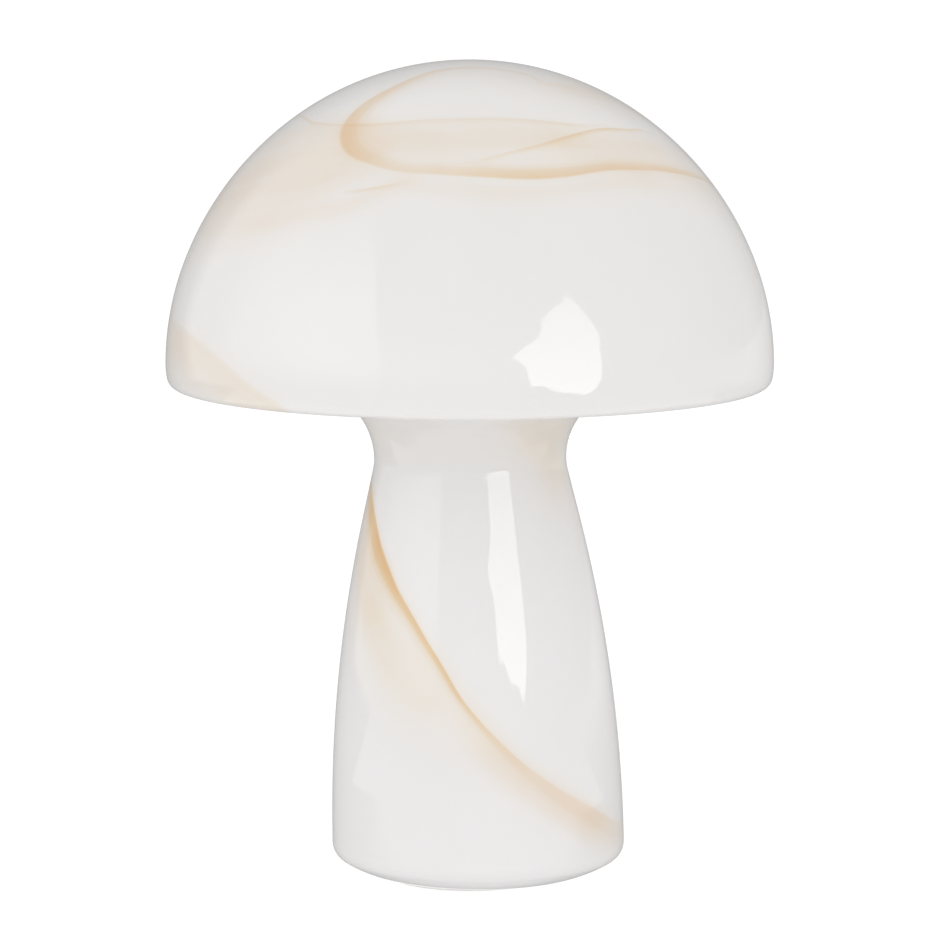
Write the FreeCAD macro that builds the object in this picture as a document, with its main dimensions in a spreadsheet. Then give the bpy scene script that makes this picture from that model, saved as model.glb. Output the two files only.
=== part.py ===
import FreeCAD, Part

# Mushroom table lamp, in millimetres. The origin is the centre of the resting
# face on the table, +Z is up, and the cord inlet is at the back, on +Y.

import math
import os

import Sketcher

doc = FreeCAD.newDocument("mushroom_table_lamp")
sheet = doc.addObject("Spreadsheet::Sheet", "Sizes")

# ---------------------------------------------------------------- sizes

SIZES = {
    # Foot: a soft ring stuck to the flat ground under the glass.
    "foot_thick": 1.0,
    "foot_outer_r": 29.0,
    "foot_width": 6.0,
    # Stem glass, outside wall, from the ground flat up to the lip.
    "stem_flat_r": 30.0,
    "stem_edge_angle": 4.6,
    "stem_under_bend": 46.7,
    "stem_under_angle": 31.1,
    "stem_heel_bend": 6.9,
    "stem_belly_bend": 525.0,
    "stem_taper_angle": 13.1,
    "stem_straight": 19.6,
    "stem_waist_bend": 17.9,
    "flare_bend": 26.1,
    "flare_angle": 58.0,
    "stem_wall": 3.5,
    # Cord inlet, drilled in the back wall just above the widest ring.
    "inlet_rise": 8.5,
    "inlet_r": 4.6,
    "grommet_bore_r": 3.3,
    "grommet_flange_r": 6.4,
    "grommet_flange": 1.3,
    "grommet_gap": 0.1,
    "grommet_slack": 0.3,
    # Ring between the lip and the shade.
    "gasket_pad": 1.5,
    "gasket_edge": 1.3,
    "gasket_rib": 1.9,
    "gasket_rib_rise": 3.2,
    "gasket_gap": 0.1,
    "shade_fit": 0.5,
    # Shade glass, outside wall, from the hole's rim round to the crown.
    "shade_r": 111.0,
    "shade_hole_r": 44.5,
    "shade_wall": 3.0,
    "shade_corner_bend": 3.8,
    "shade_skirt_bend": 22.4,
    "shade_skirt_angle": 77.3,
    "shade_side_bend": 104.2,
    "shade_side_angle": 109.6,
    "shade_mid_bend": 116.0,
    "shade_mid_angle": 145.4,
    # Gallery plate that hangs the lamp holder in the flare, and its edge seal.
    "seal_rise": 12.5,
    "plate_thick": 1.2,
    "vent_r": 2.6,
    "vent_inset": 7.5,
    "vent_angle": 42.0,
    "seal_lip": 1.3,
    "seal_grip": 2.2,
    "seal_gap": 0.1,
    # Spring clips under the plate, which press on the waist of the glass.
    "clip_thick": 0.5,
    "clip_width": 8.0,
    "clip_foot": 7.2,
    "clip_bend": 1.6,
    "clip_arm_angle": 76.0,
    "clip_knee_bend": 3.0,
    "clip_tail_angle": 125.0,
    "clip_tail": 4.0,
    "clip_reach_down": 2.0,
    "clip_gap": 0.5,
    # Screws and nuts of the clips.
    "screw_r": 1.5,
    "screw_gap": 0.1,
    "screw_head_r": 2.7,
    "screw_head": 1.6,
    "screw_slot": 0.7,
    "screw_slot_depth": 0.8,
    "screw_end": 1.2,
    "nut_flats": 5.5,
    "nut_thick": 2.4,
    # Lamp holder: threaded tube, two clamp rings and a bottom cover.
    "tube_thread_r": 14.0,
    "tube_thread_depth": 0.7,
    "tube_thread_pitch": 2.0,
    "tube_gap": 0.15,
    "tube_above": 12.0,
    "tube_below": 20.0,
    "tube_wall": 3.2,
    "tube_mouth_r": 9.0,
    "tube_chamfer": 1.0,
    "ring_r": 17.6,
    "ring_lower": 5.0,
    "ring_upper": 6.0,
    "ring_notch_r": 1.2,
    "cover_height": 18.0,
    "cover_wall": 1.8,
    "cover_ledge_r": 9.2,
    "cover_round": 4.0,
    "cover_entry_r": 5.1,
    # Core of the holder, with its contacts and terminal screws.
    "core_gap": 0.3,
    "core_wall": 1.6,
    "core_floor": 7.0,
    "contact_thick": 0.4,
    "contact_width": 4.0,
    "contact_bend": 1.0,
    "contact_gap": 0.25,
    "tip_contact_base": 3.4,
    "tip_contact_rise": 3.0,
    "tip_contact_angle": 40.0,
    "tip_contact_top": 2.6,
    "side_contact_foot": 1.2,
    "side_contact_post": 3.0,
    "side_contact_angle": 25.0,
    "side_contact_tail": 1.5,
    "terminal_pitch_r": 6.0,
    "terminal_head_r": 2.5,
    "terminal_head": 1.5,
    "terminal_length": 4.5,
    "terminal_hole": 5.0,
    # Bulb cap: a thin sheet shell with a rounded thread, its insulator and tip.
    "thread_pitch": 2.82,
    "thread_depth": 0.8,
    "thread_crest_r": 6.95,
    "thread_gap": 0.2,
    "cap_sheet": 0.3,
    "cap_collar_r": 7.3,
    "cap_skirt_r": 8.3,
    "cap_step": 1.2,
    "cap_skirt": 4.6,
    "tip_r": 2.4,
    "tip_height": 1.2,
    "tip_round": 0.8,
    "insulator_r": 3.2,
    "insulator_cone": 2.4,
    "insulator_plug": 1.4,
    # Bulb glass and what it holds.
    "globe_r": 22.5,
    "globe_neck": 4.2,
    "globe_wall": 0.8,
    "globe_gap": 0.1,
    "globe_sunk": 3.6,
    "globe_neck_bend": 9.0,
    "mount_flange": 1.0,
    "mount_cone": 5.0,
    "mount_tube_r": 2.0,
    "mount_over": 1.0,
    "filament_r": 0.9,
    "filament_rise": 6.2,
    "filament_length": 26.0,
    "filament_pitch_r": 7.0,
    "wire_r": 0.35,
    "wire_gap": 0.05,
    "board_width": 8.4,
    "board_height": 13.0,
    "board_thick": 1.0,
}

# How many of each there are.
CLIPS = 3
RING_NOTCHES = 12
TUBE_THREAD_TURNS = 13
BORE_THREAD_TURNS = 3
BULB_THREAD_TURNS = 5
FILAMENTS = 4

for row, (alias, number) in enumerate(SIZES.items(), start=1):
    sheet.set(f"A{row}", str(number))
    sheet.setAlias(f"A{row}", alias)
doc.recompute()


class Dim:
    """A size: the expression that gives it, and the number it has now."""

    def __init__(self, text, value):
        self.text = text
        self.value = value

    def __add__(self, other):
        other = dim(other)
        return Dim(f"({self.text} + {other.text})", self.value + other.value)

    def __sub__(self, other):
        other = dim(other)
        return Dim(f"({self.text} - {other.text})", self.value - other.value)

    def __mul__(self, other):
        other = dim(other)
        return Dim(f"({self.text} * {other.text})", self.value * other.value)

    def __truediv__(self, other):
        other = dim(other)
        return Dim(f"({self.text} / {other.text})", self.value / other.value)

    def __radd__(self, other):
        return dim(other) + self

    def __rsub__(self, other):
        return dim(other) - self

    def __rmul__(self, other):
        return dim(other) * self

    def __neg__(self):
        return Dim(f"(0 - {self.text})", -self.value)


def dim(number):
    return number if isinstance(number, Dim) else Dim(f"{number:g}", float(number))


def size(alias):
    return Dim(f"Sizes.{alias}", float(SIZES[alias]))


def sine(angle):
    return Dim(f"sin({dim(angle).text} * 1deg)", math.sin(math.radians(dim(angle).value)))


def cosine(angle):
    return Dim(f"cos({dim(angle).text} * 1deg)", math.cos(math.radians(dim(angle).value)))


def root(square):
    return Dim(f"sqrt({square.text})", math.sqrt(square.value))


ZERO = dim(0)

# Headings in an outline, in degrees from outwards: straight up, and back inwards.
UPWARDS = math.degrees(math.pi / 2)
INWARDS = math.degrees(math.pi)

# ---------------------------------------------------------------- outlines


class Path:
    """Points joined by straight runs and arcs; each arc keeps its centre."""

    def __init__(self, x, y):
        self.points = [(dim(x), dim(y))]
        self.bends = []

    def line(self, x, y):
        self.points.append((dim(x), dim(y)))
        self.bends.append(None)
        return self

    def arc(self, centre_x, centre_y, x, y, left):
        self.points.append((dim(x), dim(y)))
        self.bends.append((dim(centre_x), dim(centre_y), left))
        return self

    def join(self, other):
        """Runs straight to another path's start, then goes on along it."""
        self.line(*other.points[0])
        return self.follow(other)

    def follow(self, other):
        """Goes on along another path that starts where this one ends."""
        self.points.extend(other.points[1:])
        self.bends.extend(other.bends)
        return self

    def back(self):
        """The same path walked the other way."""
        turned = Path(0, 0)
        turned.points = self.points[::-1]
        turned.bends = [bend and (bend[0], bend[1], not bend[2]) for bend in self.bends[::-1]]
        return turned

    @property
    def end(self):
        return self.points[-1]


def tangent_path(x, y, heading, steps, shift=0):
    """A path of ("run", length) and ("bend", radius, new heading) steps that meet
    tangent to tangent. `shift` moves the whole path that far to its left."""
    x, y, heading, shift = dim(x), dim(y), dim(heading), dim(shift)
    path = Path(x - shift * sine(heading), y + shift * cosine(heading))
    for kind, length, *turn in steps:
        if kind == "run":
            x = x + length * cosine(heading)
            y = y + length * sine(heading)
            path.line(x - shift * sine(heading), y + shift * cosine(heading))
            continue
        turned = dim(turn[0])
        left = turned.value > heading.value
        reach = length if left else -length
        centre_x = x - reach * sine(heading)
        centre_y = y + reach * cosine(heading)
        heading = turned
        x = centre_x + reach * sine(heading)
        y = centre_y - reach * cosine(heading)
        far_x = centre_x + (reach - shift) * sine(heading)
        far_y = centre_y - (reach - shift) * cosine(heading)
        path.arc(centre_x, centre_y, far_x, far_y, left)
    return path


def box_path(x_low, y_low, x_high, y_high):
    return Path(x_low, y_low).line(x_high, y_low).line(x_high, y_high).line(x_low, y_high)


def vector(x, y):
    return FreeCAD.Vector(x.value, y.value, 0)


def fix(sketch, element, point, axis, coordinate):
    """Ties one coordinate of a sketch point to its expression."""
    if coordinate.text == ZERO.text:
        across = -2 if axis == "X" else -1
        sketch.addConstraint(Sketcher.Constraint("PointOnObject", element, point, across))
        return
    index = sketch.addConstraint(
        Sketcher.Constraint(f"Distance{axis}", -1, 1, element, point, coordinate.value)
    )
    sketch.setExpression(f"Constraints[{index}]", coordinate.text)


def add_closed(sketch, path):
    """Draws a closed outline and ties its corners and arc centres to the sizes."""
    starts = path.points
    stops = starts[1:] + starts[:1]
    bends = path.bends + [None]
    stretches = []
    for start, stop, bend in zip(starts, stops, bends):
        a, b = vector(*start), vector(*stop)
        if bend is None:
            element = sketch.addGeometry(Part.LineSegment(a, b), False)
            stretches.append((element, 1, 2))
            continue
        centre = vector(*bend[:2])
        circle = Part.Circle(centre, FreeCAD.Vector(0, 0, 1), (a - centre).Length)
        begin, finish = (a, b) if bend[2] else (b, a)
        turn_a = math.atan2(begin.y - centre.y, begin.x - centre.x)
        turn_b = math.atan2(finish.y - centre.y, finish.x - centre.x)
        turn_b += 2 * math.pi if turn_b <= turn_a else 0
        element = sketch.addGeometry(Part.ArcOfCircle(circle, turn_a, turn_b), False)
        stretches.append((element, 1, 2) if bend[2] else (element, 2, 1))
    for here, there in zip(stretches, stretches[1:] + stretches[:1]):
        sketch.addConstraint(Sketcher.Constraint("Coincident", here[0], here[2], there[0], there[1]))
    for (element, entry, _), start, stop, bend in zip(stretches, starts, stops, bends):
        fix(sketch, element, entry, "X", start[0])
        fix(sketch, element, entry, "Y", start[1])
        if bend:
            across = abs(stop[0].value - start[0].value)
            along = abs(stop[1].value - start[1].value)
            axis, coordinate = ("X", bend[0]) if along >= across else ("Y", bend[1])
            fix(sketch, element, 3, axis, coordinate)


def add_circle(sketch, x, y, radius):
    x, y = dim(x), dim(y)
    circle = Part.Circle(vector(x, y), FreeCAD.Vector(0, 0, 1), radius.value)
    element = sketch.addGeometry(circle, False)
    fix(sketch, element, 3, "X", x)
    fix(sketch, element, 3, "Y", y)
    index = sketch.addConstraint(Sketcher.Constraint("Radius", element, radius.value))
    sketch.setExpression(f"Constraints[{index}]", radius.text)


# ---------------------------------------------------------------- features

NODES = {}


def new_body(label, exported=True):
    body = doc.addObject("PartDesign::Body", label)
    body.Label = label
    if exported:
        NODES[label] = body
    return body


def new_sketch(body, name, role="XZ_Plane"):
    sketch = body.newObject("Sketcher::SketchObject", name)
    planes = [plane for plane in body.Origin.OriginFeatures if plane.Role == role]
    sketch.AttachmentSupport = (planes[0], [""])
    sketch.MapMode = "FlatFace"
    return sketch


def revolve(body, outline):
    """Turns a closed outline round the upright axis of its body."""
    sketch = new_sketch(body, f"{body.Label}_outline")
    add_closed(sketch, outline)
    turned = body.newObject("PartDesign::Revolution", f"{body.Label}_turned")
    turned.Profile = sketch
    turned.ReferenceAxis = (sketch, ["V_Axis"])
    turned.Angle = 360
    return turned


def pad(body, sketch, length, midplane=False):
    feature = body.newObject("PartDesign::Pad", f"{sketch.Label}_pad")
    feature.Profile = sketch
    feature.Midplane = midplane
    feature.setExpression("Length", length.text)
    return feature


def pocket(body, sketch, length, upward=False, midplane=False):
    """Cuts a sketch's shape out of a body, and makes sure that it took something."""
    doc.recompute()
    before = body.Shape.Volume
    feature = body.newObject("PartDesign::Pocket", f"{sketch.Label}_cut")
    feature.Profile = sketch
    feature.Reversed = upward
    feature.Midplane = midplane
    feature.setExpression("Length", length.text)
    doc.recompute()
    if body.Shape.Volume > before - 1e-3:
        raise RuntimeError(f"{feature.Label} cuts nothing")
    return feature


def polar(body, feature, count):
    """Repeats a feature evenly round the upright axis of its body."""
    pattern = body.newObject("PartDesign::PolarPattern", f"{feature.Label}_ring")
    pattern.Originals = [feature]
    axes = [axis for axis in body.Origin.OriginFeatures if axis.Role == "Z_Axis"]
    pattern.Axis = (axes[0], [""])
    pattern.Angle = 360
    pattern.Occurrences = count
    body.Tip = pattern
    return pattern


def place(piece, x=ZERO, y=ZERO, z=ZERO, turn=0, about=(0, 0, 1)):
    """Puts a piece down, with its coordinates tied to the sizes."""
    rotation = FreeCAD.Rotation(FreeCAD.Vector(*about), turn)
    piece.Placement = FreeCAD.Placement(FreeCAD.Vector(x.value, y.value, z.value), rotation)
    for axis, coordinate in (("x", x), ("y", y), ("z", z)):
        if coordinate is not ZERO:
            piece.setExpression(f"Placement.Base.{axis}", coordinate.text)
    return piece


def gather(label, pieces):
    """Puts identical pieces into one node as a group of separate solids."""
    group = doc.addObject("Part::Compound", label)
    group.Label = label
    group.Links = pieces
    NODES[label] = group
    return group


# ---------------------------------------------------------------- stem glass

stem_wall = size("stem_wall")
foot_thick = size("foot_thick")

# The outside wall in tangent stretches: under, heel, belly, straight, waist, flare.
lip_heading = UPWARDS - size("flare_angle")
stem_steps = [
    ("bend", size("stem_under_bend"), size("stem_under_angle")),
    ("bend", size("stem_heel_bend"), UPWARDS),
    ("bend", size("stem_belly_bend"), UPWARDS + size("stem_taper_angle")),
    ("run", size("stem_straight")),
    ("bend", size("stem_waist_bend"), UPWARDS),
    ("bend", size("flare_bend"), lip_heading),
]
stem_start = (size("stem_flat_r"), foot_thick, size("stem_edge_angle"))
stem_outside = tangent_path(*stem_start, stem_steps)
stem_inside = tangent_path(*stem_start, stem_steps, shift=stem_wall)
stem_widest_r, stem_widest_z = stem_outside.points[2]
waist_inner_r, waist_z = stem_inside.points[5]
flare_x = stem_outside.bends[5][0]

# The lip is fire-polished round, half a wall thick.
lip_x = stem_outside.end[0] - stem_wall / 2 * sine(lip_heading)
lip_z = stem_outside.end[1] + stem_wall / 2 * cosine(lip_heading)

stem_outline = Path(0, foot_thick).join(stem_outside)
stem_outline.arc(lip_x, lip_z, *stem_inside.end, left=True)
stem_outline.follow(stem_inside.back()).line(0, stem_inside.points[0][1])

base_body = new_body("base_body")
revolve(base_body, stem_outline)

# The cord's hole goes through the back wall only.
inlet_z = stem_widest_z + size("inlet_rise")
inlet = new_sketch(base_body, "cord_inlet")
add_circle(inlet, 0, inlet_z, size("inlet_r"))
pocket(base_body, inlet, stem_widest_r + stem_wall)

# ---------------------------------------------------------------- foot and grommet

foot_outer_r = size("foot_outer_r")
foot_ring = new_body("foot_ring")
revolve(foot_ring, box_path(foot_outer_r - size("foot_width"), 0, foot_outer_r, foot_thick))

# The grommet is turned upright and then tipped over to face back. Its groove takes
# the wall and the curve that the wall makes across the flange.
flange = size("grommet_flange")
flange_r = size("grommet_flange_r")
flange_sag = flange_r * flange_r / (2 * (stem_widest_r - stem_wall))
groove = stem_wall + flange_sag + size("grommet_slack")
grommet_waist_r = size("inlet_r") - size("grommet_gap")
edge_r = flange_r - flange / 2
grommet_outline = Path(size("grommet_bore_r"), -flange)
grommet_outline.line(flange_r, -flange).line(flange_r, 0).line(grommet_waist_r, 0)
grommet_outline.line(grommet_waist_r, groove).line(flange_r, groove)
grommet_outline.line(flange_r, groove + flange / 2)
grommet_outline.arc(edge_r, groove + flange / 2, edge_r, groove + flange, left=True)
grommet_outline.line(size("grommet_bore_r"), groove + flange)
cord_grommet = new_body("cord_grommet")
revolve(cord_grommet, grommet_outline)
grommet_y = stem_widest_r + size("grommet_gap") - groove
place(cord_grommet, y=grommet_y, z=inlet_z, turn=-90, about=(1, 0, 0))

# ---------------------------------------------------------------- gasket and shade

shade_z = lip_z + stem_wall / 2 + size("gasket_pad")
rib_outer_r = size("shade_hole_r") - size("shade_fit")
rib_inner_r = rib_outer_r - size("gasket_rib")
rib_top_z = shade_z + size("gasket_rib_rise")

# A pad over the round lip, a rib up inside the shade's hole, and a skirt that lies
# along the inside of the flare.
groove_r = stem_wall / 2 + size("gasket_gap")
groove_x = lip_x - groove_r * sine(lip_heading)
groove_z = lip_z + groove_r * cosine(lip_heading)
gasket_outer_r = lip_x + groove_r + size("gasket_edge")
skirt_z = groove_z - (groove_x - rib_inner_r) * sine(lip_heading) / cosine(lip_heading)
gasket_outline = Path(rib_inner_r, skirt_z).line(rib_inner_r, rib_top_z)
gasket_outline.line(rib_outer_r, rib_top_z).line(rib_outer_r, shade_z)
gasket_outline.line(gasket_outer_r, shade_z).line(gasket_outer_r, lip_z)
gasket_outline.line(lip_x + groove_r, lip_z)
gasket_outline.arc(lip_x, lip_z, groove_x, groove_z, left=True)
lip_gasket = new_body("lip_gasket")
revolve(lip_gasket, gasket_outline)

shade_wall = size("shade_wall")
skirt_slope = size("shade_skirt_angle")
side_slope = size("shade_side_angle")
mid_slope = size("shade_mid_angle")
side_reach = size("shade_side_bend") * (1 - sine(side_slope))
mid_reach = size("shade_mid_bend") * (sine(side_slope) - sine(mid_slope))
# The crown's radius is what brings the dome to its middle at the top.
crown_bend = (size("shade_r") - side_reach - mid_reach) / sine(mid_slope)
shade_steps = [
    ("bend", size("shade_corner_bend"), skirt_slope),
    ("bend", size("shade_skirt_bend"), UPWARDS),
    ("bend", size("shade_side_bend"), side_slope),
    ("bend", size("shade_mid_bend"), mid_slope),
    ("bend", crown_bend, INWARDS),
]
corner_reach = size("shade_corner_bend") * sine(skirt_slope)
skirt_reach = size("shade_skirt_bend") * (1 - sine(skirt_slope))
floor_r = size("shade_r") - corner_reach - skirt_reach
shade_outside = tangent_path(floor_r, 0, 0, shade_steps)
shade_inside = tangent_path(floor_r, 0, 0, shade_steps, shift=shade_wall)
for wall in (shade_outside, shade_inside):
    wall.points[-1] = (ZERO, wall.end[1])
rim_x = size("shade_hole_r") + shade_wall / 2
shade_outline = shade_inside.back().line(rim_x, shade_wall)
shade_outline.arc(rim_x, shade_wall / 2, rim_x, 0, left=True).join(shade_outside)
shade = new_body("shade")
revolve(shade, shade_outline)
place(shade, z=shade_z)

# ---------------------------------------------------------------- gallery plate and clips

plate_thick = size("plate_thick")
seal_lip = size("seal_lip")
seal_height = 2 * seal_lip + plate_thick

# The seal is as wide as the flare's inside is at its height, and holds the plate.
flare_inner_bend = size("flare_bend") + stem_wall
seal_rise = size("seal_rise")
seal_reach = root(flare_inner_bend * flare_inner_bend - seal_rise * seal_rise)
seal_r = flare_x - seal_reach - size("seal_gap")
plate_r = seal_r - seal_lip
seal_inner_r = plate_r - size("seal_grip")
seal_z = waist_z + seal_rise
plate_z = seal_z + seal_lip
plate_top_z = plate_z + plate_thick

seal_outline = Path(seal_inner_r, 0).line(seal_r, 0).line(seal_r, seal_height)
seal_outline.line(seal_inner_r, seal_height).line(seal_inner_r, seal_lip + plate_thick)
seal_outline.line(plate_r, seal_lip + plate_thick).line(plate_r, seal_lip)
plate_edge_seal = new_body("plate_edge_seal")
revolve(plate_edge_seal, seal_outline.line(seal_inner_r, seal_lip))
place(plate_edge_seal, z=seal_z)

# A clip's outer face: foot, elbow, arm, knee and tail. The knee presses on the glass
# just under the waist, so the arm's length follows from the drop to it.
clip_slope = size("clip_arm_angle")
clip_bend = size("clip_bend")
clip_thick = size("clip_thick")
knee_bend = size("clip_knee_bend")
knee_drop = plate_z - waist_z + size("clip_reach_down")
elbow_drop = clip_bend * (1 - cosine(clip_slope))
clip_arm = (knee_drop - elbow_drop - knee_bend * cosine(clip_slope)) / sine(clip_slope)
arm_reach = clip_bend * sine(clip_slope) + clip_arm * cosine(clip_slope)
knee_reach = knee_bend * (1 - sine(clip_slope))
elbow_x = waist_inner_r - size("clip_gap") - arm_reach - knee_reach
clip_start_x = elbow_x - size("clip_foot")
screw_pitch_r = elbow_x - size("clip_foot") / 2
screw_hole_r = size("screw_r") + size("screw_gap")
clip_steps = [
    ("run", size("clip_foot")),
    ("bend", clip_bend, -clip_slope),
    ("run", clip_arm),
    ("bend", knee_bend, -size("clip_tail_angle")),
    ("run", size("clip_tail")),
]
clip_outer = tangent_path(clip_start_x, 0, 0, clip_steps)
clip_inner = tangent_path(clip_start_x, 0, 0, clip_steps, shift=-clip_thick)
# The first clip is at the back.
clip_turns = [90 + 360 / CLIPS * index for index in range(CLIPS)]

for number, turn in enumerate(clip_turns, start=1):
    clip = new_body(f"spring_clip_{number}")
    strip = new_sketch(clip, f"clip_strip_{number}")
    add_closed(strip, clip_outer.back().join(clip_inner))
    pad(clip, strip, size("clip_width"), midplane=True)
    hole = new_sketch(clip, f"clip_hole_{number}", "XY_Plane")
    add_circle(hole, screw_pitch_r, 0, screw_hole_r)
    pocket(clip, hole, 2 * clip_thick)
    place(clip, z=plate_z, turn=turn)

gallery_plate = new_body("gallery_plate")
disc = new_sketch(gallery_plate, "plate_disc", "XY_Plane")
add_circle(disc, 0, 0, plate_r)
add_circle(disc, 0, 0, size("tube_thread_r") + size("tube_gap"))
pad(gallery_plate, disc, plate_thick)
holes = new_sketch(gallery_plate, "plate_holes", "XY_Plane")
add_circle(holes, 0, screw_pitch_r, screw_hole_r)
vent_pitch_r = plate_r - size("vent_inset")
for side in (-1, 1):
    vent_x = side * vent_pitch_r * sine(size("vent_angle"))
    vent_y = vent_pitch_r * cosine(size("vent_angle"))
    add_circle(holes, vent_x, vent_y, size("vent_r"))
polar(gallery_plate, pocket(gallery_plate, holes, plate_thick, upward=True), CLIPS)
place(gallery_plate, z=plate_z)

# ---------------------------------------------------------------- clip fasteners


def clip_screw(number, turn):
    """A slotted screw with its head on the plate and its end past the nut."""
    screw = new_body(f"clip_screw_{number}", exported=False)
    head = size("screw_head")
    reach = plate_thick + clip_thick + size("nut_thick") + size("screw_end")
    outline = Path(0, -reach).line(size("screw_r"), -reach).line(size("screw_r"), 0)
    outline.line(size("screw_head_r"), 0).line(size("screw_head_r"), head).line(0, head)
    revolve(screw, outline)
    slot = new_sketch(screw, f"clip_screw_slot_{number}")
    half = size("screw_slot") / 2
    add_closed(slot, box_path(-half, head - size("screw_slot_depth"), half, head + half))
    pocket(screw, slot, 3 * size("screw_head_r"), midplane=True)
    x, y = screw_pitch_r * cosine(turn), screw_pitch_r * sine(turn)
    return place(screw, x=x, y=y, z=plate_top_z, turn=turn)


def clip_nut(number, turn):
    """A hexagon nut under the foot of its clip."""
    blank = doc.addObject("Part::Prism", f"clip_nut_blank_{number}")
    blank.Polygon = 6
    blank.setExpression("Circumradius", "Sizes.nut_flats / sqrt(3)")
    bore = doc.addObject("Part::Cylinder", f"clip_nut_bore_{number}")
    bore.setExpression("Radius", screw_hole_r.text)
    for piece in (blank, bore):
        piece.setExpression("Height", "Sizes.nut_thick")
    nut = doc.addObject("Part::Cut", f"clip_nut_{number}")
    nut.Base = blank
    nut.Tool = bore
    x, y = screw_pitch_r * cosine(turn), screw_pitch_r * sine(turn)
    return place(nut, x=x, y=y, z=plate_z - clip_thick - size("nut_thick"), turn=turn)


gather("clip_screws", [clip_screw(*item) for item in enumerate(clip_turns, start=1)])
gather("clip_nuts", [clip_nut(*item) for item in enumerate(clip_turns, start=1)])

# ---------------------------------------------------------------- rounded bulb thread

pitch = size("thread_pitch")
crest_r = size("thread_crest_r")
root_r = crest_r - size("thread_depth")
quarter = pitch / 4
half_depth = size("thread_depth") / 2
wave_bend = (quarter * quarter + half_depth * half_depth) / (2 * half_depth)


def thread_wall(z, turns, shift=0):
    """Rounded ridges and hollows up a wall, from its first hollow to its last.
    `shift` moves the wall that far towards the axis."""
    shift = dim(shift)
    middle_x = root_r + half_depth - shift * (1 - half_depth / wave_bend)
    rise = quarter + shift * quarter / wave_bend
    path = Path(root_r - shift, z)
    for turn in range(turns):
        low = z + turn * pitch
        high = low + pitch
        path.arc(root_r + wave_bend, low, middle_x, low + rise, left=False)
        path.arc(crest_r - wave_bend, low + pitch / 2, middle_x, high - rise, left=True)
        path.arc(root_r + wave_bend, high, root_r - shift, high, left=False)
    return path


# ---------------------------------------------------------------- lamp holder

# The holder stands in the plate: heights here are from the plate's top face.
thread_r = size("tube_thread_r")
thread_root_r = thread_r - size("tube_thread_depth")
cavity_r = thread_r - size("tube_wall")
joint_z = -size("tube_below")
core_floor_z = joint_z + size("core_floor")
tip_z = core_floor_z + size("tip_contact_rise")
bulb_thread_z = tip_z + size("tip_height") + size("insulator_cone")
bulb_thread_top_z = bulb_thread_z + BULB_THREAD_TURNS * pitch
bore_z = bulb_thread_top_z - BORE_THREAD_TURNS * pitch

# Tube: plate thread outside, bulb thread and a wide mouth inside.
mouth_r = size("tube_mouth_r")
chamfer = size("tube_chamfer")
rim_z = size("tube_above")
bore_wall = thread_wall(bore_z, BORE_THREAD_TURNS, shift=-size("thread_gap"))
tube_outline = Path(cavity_r, joint_z).line(thread_r, joint_z).line(thread_r, rim_z - chamfer)
tube_outline.line(thread_r - chamfer, rim_z).line(mouth_r, rim_z)
tube_outline.line(mouth_r, bulb_thread_top_z + chamfer).join(bore_wall.back())
holder_tube = new_body("holder_tube")
revolve(holder_tube, tube_outline.line(cavity_r, bore_z))

tube_pitch = size("tube_thread_pitch")
notch = new_sketch(holder_tube, "tube_thread_notch")
notch_z = joint_z + 2 * tube_pitch
notch_path = Path(thread_root_r, notch_z)
notch_path.line(thread_r + chamfer, notch_z - tube_pitch)
add_closed(notch, notch_path.line(thread_r + chamfer, notch_z + tube_pitch))
thread_groove = holder_tube.newObject("PartDesign::Groove", "tube_thread_cut")
thread_groove.Profile = notch
thread_groove.ReferenceAxis = (notch, ["V_Axis"])
thread_groove.Angle = 360
thread_turns = holder_tube.newObject("PartDesign::LinearPattern", "tube_thread_turns")
thread_turns.Originals = [thread_groove]
thread_turns.Direction = (notch, ["V_Axis"])
thread_turns.Occurrences = TUBE_THREAD_TURNS
thread_turns.setExpression("Length", (tube_pitch * (TUBE_THREAD_TURNS - 1)).text)
holder_tube.Tip = thread_turns
place(holder_tube, z=plate_top_z)

# Clamp rings, one on each side of the plate.
for label, height, z in (
    ("holder_ring_lower", size("ring_lower"), plate_z - size("ring_lower")),
    ("holder_ring_upper", size("ring_upper"), plate_top_z),
):
    ring = new_body(label)
    face = new_sketch(ring, f"{label}_face", "XY_Plane")
    add_circle(face, 0, 0, size("ring_r"))
    add_circle(face, 0, 0, thread_r + size("tube_gap"))
    pad(ring, face, height)
    grip = new_sketch(ring, f"{label}_grip", "XY_Plane")
    add_circle(grip, size("ring_r"), 0, size("ring_notch_r"))
    polar(ring, pocket(ring, grip, height, upward=True), RING_NOTCHES)
    place(ring, z=z)

# Bottom cover: a cup with a ledge inside its rim, which the core stands on.
cover_wall = size("cover_wall")
cover_height = size("cover_height")
cover_round = size("cover_round")
cover_x = thread_root_r - cover_round
entry_r = size("cover_entry_r")
ledge_r = size("cover_ledge_r")
cover_outline = Path(entry_r, 0).line(cover_x, 0)
cover_outline.arc(cover_x, cover_round, thread_root_r, cover_round, left=True)
cover_outline.line(thread_root_r, cover_height).line(ledge_r, cover_height)
cover_outline.line(ledge_r, cover_height - cover_wall)
cover_outline.line(thread_root_r - cover_wall, cover_height - cover_wall)
cover_outline.line(thread_root_r - cover_wall, cover_round)
cover_outline.arc(cover_x, cover_round, cover_x, cover_wall, left=False)
holder_cover = new_body("holder_cover")
revolve(holder_cover, cover_outline.line(entry_r, cover_wall))
place(holder_cover, z=plate_top_z + joint_z - cover_height)

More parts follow.
